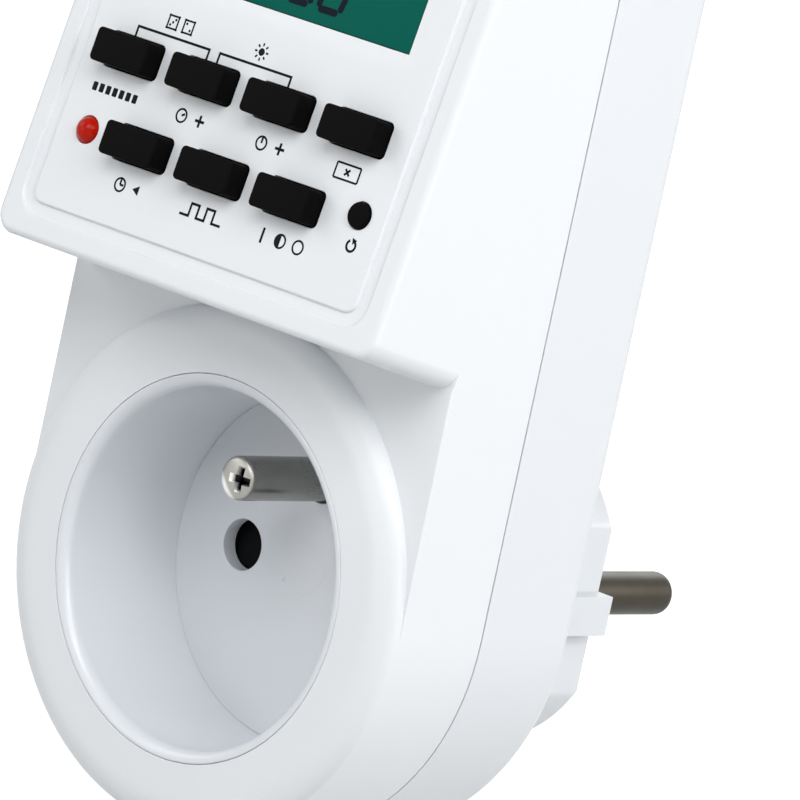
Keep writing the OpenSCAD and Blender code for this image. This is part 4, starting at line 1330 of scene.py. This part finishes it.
@dataclass
class Keypad:
    """Seven rubber keys in two rows, and the reset button."""

    width: float = 7.7
    height: float = 3.7
    rise: float = 2.5
    pitch: float = 11.25
    row_high: float = 22.1
    row_low: float = 13.1
    corner: float = 0.5
    edge: float = 0.22
    flange: float = 0.8
    flange_top: float = -2.0
    foot: float = -3.1
    reset_place: Point = (20.5, 14.0)
    reset_radius: float = 1.4
    reset_rise: float = 0.5
    reset_edge: float = 0.25
    reset_flange: float = 2.1
    reset_flange_foot: float = -2.8
    stem: float = 0.9
    stem_foot: float = -3.2

    def build(self) -> None:
        """Build the keys and the button."""
        for row, names in ((self.row_high, ("week", "hour", "minute", "clear")),
                           (self.row_low, ("clock", "timer", "mode"))):
            for index, name in enumerate(names):
                self.key(name, (index - (len(names) - 1) / 2) * self.pitch, row)
        self.reset_button()

    def key(self, name: str, x: float, y: float) -> None:
        """Raise one key's cap from its flange and round its top.

        Args:
            name: The key's name.
            x: Its centre across the panel.
            y: Its centre up the panel.
        """
        mould = Mould(Plane.PANEL)
        base = mould.rectangle(self.width + 2 * self.flange, self.height + 2 * self.flange,
                               (x, y, self.foot), self.corner + self.flange, 5)
        shelf = mould.step(base, self.flange_top - self.foot)
        cap = mould.step(shelf, self.rise - self.flange_top, self.flange)
        mould.soften(cap.edges, self.edge, 4)
        mould.finish(f"{name}_keycap", KEY, f"key_{name}", "key_rubber", f"key_{name}", 50)

    def reset_button(self) -> None:
        """Turn the reset button with its flange and stem."""
        mould = Mould(Plane.PANEL)
        edge = self.reset_edge
        top = quarter((self.reset_radius - edge, self.reset_rise - edge), edge, 0)
        profile = [(0, self.stem_foot), (self.stem, self.stem_foot),
                   (self.stem, self.reset_flange_foot), (self.reset_flange, self.reset_flange_foot),
                   (self.reset_flange, self.flange_top), (self.reset_radius, self.flange_top),
                   *top, (0, self.reset_rise)]
        mould.lathe(profile, (*self.reset_place, 0))
        mould.finish("reset_cap", KEY, "reset_button", "key_rubber", "reset_button")


@dataclass
class Lamp:
    """The status lamp: a red dome with a flange and two wire legs."""

    x: float = -19.7
    y: float = 13.1
    radius: float = 1.5
    rise: float = 1.0
    flange: float = 1.9
    flange_thickness: float = 1.0
    foot: float = -4.3
    leg_offset: float = 0.65
    leg: float = 0.25
    leg_end: float = -7.6

    def build(self) -> None:
        """Turn the dome and its legs."""
        dome = Mould(Plane.PANEL)
        cap = quarter((0, self.rise - self.radius), self.radius, 0, 12)
        shelf = self.foot + self.flange_thickness
        dome.lathe([(0, self.foot), (self.flange, self.foot), (self.flange, shelf),
                    (self.radius, shelf), *cap], (self.x, self.y, 0))
        dome.finish("lamp_dome", LAMP, slot="led_red", stands_for="status_led")
        legs = Mould(Plane.PANEL)
        for side in (-1, 1):
            legs.lathe([(0, self.leg_end), (self.leg, self.leg_end), (self.leg, self.foot),
                        (0, self.foot)], (self.x + side * self.leg_offset, self.y, 0),
                       segments=12)
        legs.finish("lamp_legs", SPRING)


# The lit segments of each numeral, from the top clockwise and then the middle bar.
SEGMENTS = {"0": "abcdef", "1": "bc", "2": "abdeg"}


@dataclass
class Display:
    """The display window with its numerals and markers."""

    width: float = 37.6
    height: float = 18.0
    middle: float = 40.4
    front: float = -0.7
    edge: float = 0.08
    flange: float = 1.1
    flange_top: float = -2.0
    foot: float = -2.6
    digit_width: float = 3.1
    digit_height: float = 7.4
    digit_foot: float = 33.0
    stroke: float = 0.78
    stroke_corner: float = 0.26
    gap_long: float = 0.22
    gap_wide: float = 0.28
    slant: float = 0.16
    time: tuple[tuple[str, float], ...] = (("1", -9.4), ("2", -5.0), ("0", 1.9), ("0", 6.3))
    colon: float = -1.6
    colon_dot: float = 0.42
    colon_shares: Point = (0.32, 0.68)
    day: Point = (3.0, 0.9)
    day_corner: float = 0.2
    day_pitch: float = 4.6
    day_place: float = 46.6
    mark_x: float = -15.6
    ring: Point = (0.5, 0.8)
    ring_place: float = 38.6
    bar: Point = (0.3, 1.7)
    bar_place: float = 34.6
    film: float = 0.012

    def build(self) -> None:
        """Build the window and what it shows."""
        self.window()
        self.numerals()
        self.markers()

    def window(self) -> None:
        """Raise the window from its flange."""
        mould = Mould(Plane.PANEL)
        base = mould.rectangle(self.width + 2 * self.flange, self.height + 2 * self.flange,
                               (0, self.middle, self.foot))
        shelf = mould.step(base, self.flange_top - self.foot)
        face = mould.step(shelf, self.front - self.flange_top, self.flange)
        mould.soften(face.edges, self.edge, 2)
        mould.finish("display_window", TEAL, slot="display_teal", stands_for="lcd_window")

    def _digit(self, ink: Print, numeral: str) -> None:
        """Draw one numeral with bars that leave small gaps at their ends.

        Args:
            ink: The print, with its pen at the middle of the numeral's foot.
            numeral: The numeral.
        """
        half, tall = self.digit_width / 2, self.digit_height
        long, wide = tall / 2 - self.gap_long, self.digit_width - self.gap_wide
        lean = math.degrees(math.atan(self.slant))
        flat = {"a": tall, "g": tall / 2, "d": 0}
        upright = {"b": (half, 0.75), "c": (half, 0.25), "e": (-half, 0.25), "f": (-half, 0.75)}
        for name in SEGMENTS[numeral]:
            if name in flat:
                dx, dy, length, turn = 0, flat[name], wide, 0
            else:
                dx, dy, length, turn = upright[name][0], upright[name][1] * tall, long, 90 - lean
            ink.bar(length, self.stroke, dx + dy * self.slant, dy, turn,
                    corner=self.stroke_corner, steps=1)

    def numerals(self) -> None:
        """Print the numerals of the time."""
        ink = Print(self.front)
        for numeral, x in self.time:
            ink.pen = (x, self.digit_foot)
            self._digit(ink, numeral)
        ink.pen = (self.colon, self.digit_foot)
        for share in self.colon_shares:
            up = share * self.digit_height
            ink.dot(self.colon_dot, up * self.slant, up)
        ink.dry("display_numerals", DIGIT, self.film)

    def markers(self) -> None:
        """Print seven day blocks along the top, and a ring and a bar at the left."""
        ink = Print(self.front)
        for index in range(7):
            ink.bar(*self.day, (index - 3) * self.day_pitch, self.day_place,
                    corner=self.day_corner)
        ink.ring(*self.ring, self.mark_x, self.ring_place, steps=24)
        ink.bar(*self.bar, self.mark_x, self.bar_place)
        ink.dry("display_markers", DIGIT, self.film)


class Signs(Print):
    """Plain signs, each drawn about the pen's place."""

    height: float = 1.65
    line: float = 0.28
    thin_line: float = 0.21
    rim_line: float = 0.224
    hand_line: float = 0.252
    thick_line: float = 0.308
    day: Point = (0.68, 0.95)
    day_corner: float = 0.1
    plus_length: float = 1.32
    frame_width: float = 3.4
    cross_length: float = 0.95
    triangle_radius: float = 0.62
    pulse: float = 1.15
    mode_pitch: float = 2.6
    half_inner: float = 0.02
    back_radius: float = 0.74
    arrow_radius: float = 0.42
    arrow_place: float = 70.0
    die_x: float = 1.15
    die_spot: float = 0.32
    die_dot: float = 0.15
    sun_radius: float = 0.42
    ray: float = 0.34
    ray_place: float = 0.8

    def days(self) -> None:
        """Print seven small blocks."""
        for index in range(7):
            self.bar(*self.day, index - 3, corner=self.day_corner)

    def circle(self, x: float = 0.0) -> None:
        """Print a thin circle, with its centre at x from the pen."""
        self.ring(self.height / 2 - self.rim_line, self.height / 2, x)

    def dial(self, *hands: Point) -> None:
        """Print a round dial with hands, each given as a length and a turn from upright."""
        self.circle()
        for length, turn in hands:
            self.bar(length, self.hand_line, turn=90 - turn, out=length / 2)

    def plus(self) -> None:
        """Print a plus sign."""
        for turn in (0, 90):
            self.bar(self.plus_length, self.thick_line, turn=turn)

    def frame(self, width: float, height: float, line: float, x: float = 0.0,
              inset: float = 0.0) -> None:
        """Print a rectangular frame.

        Args:
            width: The length of its level bars.
            height: The length of its upright bars.
            line: The width of its bars.
            x: Its centre across from the pen.
            inset: How far in from the ends of the bars the others cross them.
        """
        for side in (-1, 1):
            self.bar(width, line, x, side * (height / 2 - inset))
            self.bar(line, height, x + side * (width / 2 - inset))

    def clear(self) -> None:
        """Print a wide frame with a cross in it."""
        self.frame(self.frame_width, self.height, self.rim_line)
        for turn in (-45, 45):
            self.bar(self.cross_length, self.hand_line, turn=turn)

    def triangle(self) -> None:
        """Print a filled triangle."""
        self.dot(self.triangle_radius, sides=3, turn=90)

    def pulses(self) -> None:
        """Print a square wave."""
        tall = self.height - self.line
        for index in range(5):
            level = tall / 2 if index % 2 else -tall / 2
            self.bar(self.pulse + self.line, self.line, (index - 2) * self.pulse, level)
        for index in range(4):
            self.bar(self.line, tall, (index - 1.5) * self.pulse)

    def modes(self) -> None:
        """Print a bar, a half-filled circle and an empty circle."""
        self.bar(self.thick_line, self.height, -self.mode_pitch)
        self.circle()
        self.ring(self.half_inner, self.height / 2 - self.rim_line, start=90, sweep=180,
                  steps=16)
        self.circle(self.mode_pitch)

    def turn_back(self) -> None:
        """Print a ring that ends in an arrow."""
        angle, reach = math.radians(self.arrow_place), self.back_radius - self.line / 2
        self.ring(self.back_radius - self.line, self.back_radius, start=120, sweep=300, steps=24)
        self.dot(self.arrow_radius, math.cos(angle) * reach, math.sin(angle) * reach, 3, 165)

    def dice(self) -> None:
        """Print two dice, with three dots and with two."""
        spot = self.die_spot
        for x, dots in ((-self.die_x, ((-spot, -spot), (0, 0), (spot, spot))),
                        (self.die_x, ((-spot, spot), (spot, -spot)))):
            self.frame(self.height, self.height, self.thin_line, x, self.line / 2)
            for dx, dy in dots:
                self.dot(self.die_dot, x + dx, dy, 10)

    def sun(self) -> None:
        """Print a disc with eight rays."""
        self.dot(self.sun_radius, sides=20)
        for turn in range(0, 360, 45):
            self.bar(self.ray, self.thin_line, turn=turn, out=self.ray_place)


@dataclass
class PanelPrint:
    """Plain printed signs beside the keys, and the two brackets above them."""

    row_high: float = 17.75
    row_low: float = 8.75
    row_reset: float = 10.75
    row_top: float = 26.75
    film: float = 0.014
    bracket_top: float = 25.24
    bracket_foot: float = 24.25
    brackets: tuple[Point, ...] = ((-17.76, -6.8), (-5.5, 5.35))

    def build(self) -> None:
        """Print the brackets and the signs."""
        self.print_brackets()
        self.print_signs()

    def print_brackets(self) -> None:
        """Print two brackets that each join two keys."""
        ink = Signs()
        line, tall = ink.line, self.bracket_top - self.bracket_foot
        for left, right in self.brackets:
            ink.bar(right - left, line, (left + right) / 2, self.bracket_top)
            for x in (left + line / 2, right - line / 2):
                ink.bar(line, tall, x, self.bracket_foot + (tall - line) / 2)
        ink.dry("printed_brackets", INK, self.film)

    def print_signs(self) -> None:
        """Print one sign for each key, for the reset button and above each bracket."""
        ink = Signs()
        for x, y, draw, *hands in (
                (-17.7, self.row_high, ink.days),
                (-7.6, self.row_high, ink.dial, (0.5, 60)),
                (-4.9, self.row_high, ink.plus),
                (4.3, self.row_high, ink.dial, (0.66, 0)),
                (7.0, self.row_high, ink.plus),
                (16.9, self.row_high, ink.clear),
                (-12.6, self.row_low, ink.dial, (0.66, 0), (0.5, 90)),
                (-10.1, self.row_low, ink.triangle),
                (-0.3, self.row_low, ink.pulses),
                (11.3, self.row_low, ink.modes),
                (20.7, self.row_reset, ink.turn_back),
                (-12.0, self.row_top, ink.dice),
                (0.1, self.row_top, ink.sun)):
            ink.pen = (x, y)
            draw(*hands)
        ink.dry("printed_signs", INK, self.film)


# ---------------------------------------------------------------- studio


def bearing(azimuth: float, elevation: float) -> Vector:
    """Give the direction that lies some degrees round from the front and up from level."""
    away, up = math.radians(azimuth), math.radians(elevation)
    return Vector((math.sin(away) * math.cos(up), -math.cos(away) * math.cos(up), math.sin(up)))


@dataclass(frozen=True)
class SoftBox:
    """A square area lamp that faces the object, with its sizes in metres."""

    name: str
    azimuth: float
    elevation: float
    level: float
    distance: float = 0.9
    size: float = 0.45

    def hang(self, centre: Vector) -> None:
        """Hang the lamp, with its power worked out from the level that it gives a white face.

        Args:
            centre: The point that it faces.
        """
        back = bearing(self.azimuth, self.elevation)
        data = bpy.data.lights.new(self.name, "AREA")
        data.shape = "SQUARE"
        data.size = self.size
        data.energy = self.level * math.pi ** 2 * self.distance ** 2
        lamp = add_object(self.name, data)
        lamp.location = centre + back * self.distance
        lamp.rotation_mode = "QUATERNION"
        lamp.rotation_quaternion = (-back).to_track_quat("-Z", "Y")


@dataclass
class Studio:
    """A pale floor, a white world, soft lamps and the camera."""

    floor_gap: float = 0.0006
    floor_size: float = 6.0
    floor_bounce: Colour = (0.62, 0.62, 0.62)
    floor_tone: Colour = (0.4, 0.4, 0.4)
    floor_lift: float = 0.88
    floor_speckle: float = 40.0
    floor_roughness: float = 0.9
    world_tint: Colour = (0.94, 0.97, 1.0)
    world_level: float = 0.03
    centre: tuple[float, float, float] = (0, -0.03, 0.03)
    lamps: tuple[SoftBox, ...] = (
        SoftBox("front_box", 20, 38, 0.42), SoftBox("side_box", 58, 38, 0.28),
        SoftBox("right_box", 75, 22, 0.3), SoftBox("rear_box", 130, 20, 0.45),
        SoftBox("left_box", -58, 27, 0.18), SoftBox("back_box", 208, 30, 0.22),
        SoftBox("fill_box", -30, 10, 0.14))
    azimuth: float = 41.0985
    elevation: float = 9.4511
    roll: float = 12.0191
    distance: float = 911.3
    focal_share: float = 8575 / 800
    sensor: float = 36.0
    aim: tuple[float, float, float] = (0.0, -40.0, 20.0)
    slide: Point = (13.164, -1.308)
    clip: Point = (0.01, 20.0)

    def build(self) -> None:
        """Set up everything round the object."""
        bpy.context.scene.view_settings.view_transform = "Standard"
        self.floor()
        self.world()
        for lamp in self.lamps:
            lamp.hang(Vector(self.centre))
        self.camera()

    @staticmethod
    def _when_seen(shader: Shader, lit: Wire, seen: Wire) -> Wire:
        """Show one shader to rays that see the surface, and light the object with another.

        Args:
            shader: The tree of both.
            lit: What lights the object.
            seen: What shows directly, in a mirror or through glass.

        Returns:
            The mixed shader.
        """
        rays = [shader.node("ShaderNodeLightPath", output=name)
                for name in ("Is Camera Ray", "Is Glossy Ray", "Is Transmission Ray")]
        share = (rays[0] + rays[1] + rays[2]).at_most(1.0)
        return shader.node("ShaderNodeMixShader", None, {0: share, 1: lit, 2: seen})

    def floor(self) -> None:
        """Lay a large pale floor just under the object."""
        shader = Shader("studio_floor")
        plain = shader.node("ShaderNodeBsdfPrincipled", None,
                            {"Base Color": (*self.floor_bounce, 1),
                             "Roughness": self.floor_roughness})
        tone = shader.blend(shader.noise(self.floor_speckle), _darker(self.floor_tone, 0.01),
                            self.floor_tone)
        lifted = shader.node("ShaderNodeBsdfPrincipled", None,
                             {"Base Color": tone, "Roughness": self.floor_roughness,
                              "Emission Color": (1, 1, 1, 1),
                              "Emission Strength": self.floor_lift})
        shader.node("ShaderNodeOutputMaterial", None,
                    {"Surface": self._when_seen(shader, plain, lifted)})
        bm = bmesh.new()
        bmesh.ops.create_grid(bm, x_segments=1, y_segments=1, size=self.floor_size / 2,
                              matrix=placed((0, 0, CAD_BOX[0].z - self.floor_gap)))
        floor = add_object("studio_floor", mesh_from(bm, "studio_floor"))
        floor.data.materials.append(shader.owner)

    def world(self) -> None:
        """Make the world white where it is seen and dim as a light."""
        shader = Shader("studio_world", bpy.data.worlds)
        bpy.context.scene.world = shader.owner
        lit, white = (shader.node("ShaderNodeBackground", None,
                                  {"Color": (*tint, 1), "Strength": level})
                      for tint, level in ((self.world_tint, self.world_level), ((1, 1, 1), 1.0)))
        shader.node("ShaderNodeOutputWorld", None,
                    {"Surface": self._when_seen(shader, lit, white)})

    def camera(self) -> None:
        """Place the camera by its bearing, its height and its roll about the view."""
        back = bearing(self.azimuth, self.elevation)
        level = bearing(self.azimuth + 90, 0)
        upright = back.cross(level)
        lean = math.radians(self.roll)
        right = level * math.cos(lean) + upright * math.sin(lean)
        top = upright * math.cos(lean) - level * math.sin(lean)
        spot = (Vector(self.aim) + right * self.slide[0] + top * self.slide[1]
                + back * self.distance)
        data = bpy.data.cameras.new("camera")
        data.sensor_width = self.sensor
        data.lens = self.focal_share * self.sensor
        data.clip_start, data.clip_end = self.clip
        camera = add_object("camera", data)
        turn = Matrix((right, top, back)).transposed().to_4x4()
        camera.matrix_world = Matrix.Translation(spot * METRES) @ turn
        bpy.context.scene.camera = camera


def dress_nodes() -> None:
    """Give every CAD node its finish, also those that a piece stands for."""
    finishes = {node: finish for finish, nodes in NODES_BY_FINISH.items()
                for node in nodes.split()}
    for name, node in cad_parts.items():
        for slot in node.material_slots:
            slot.material = finishes[name].material()
        LOG.info("%s: dressed in %s", name, finishes[name].name)


def main() -> None:
    """Build every sub-assembly in order and set up the studio."""
    logging.basicConfig(level=logging.INFO, format="%(name)s: %(message)s", force=True)
    dress_nodes()
    for part in (Housing(), Socket(), Plug(), Keypad(), Lamp(), Display(), PanelPrint()):
        part.build()
    Studio().build()


if __name__ == "__main__":
    main()
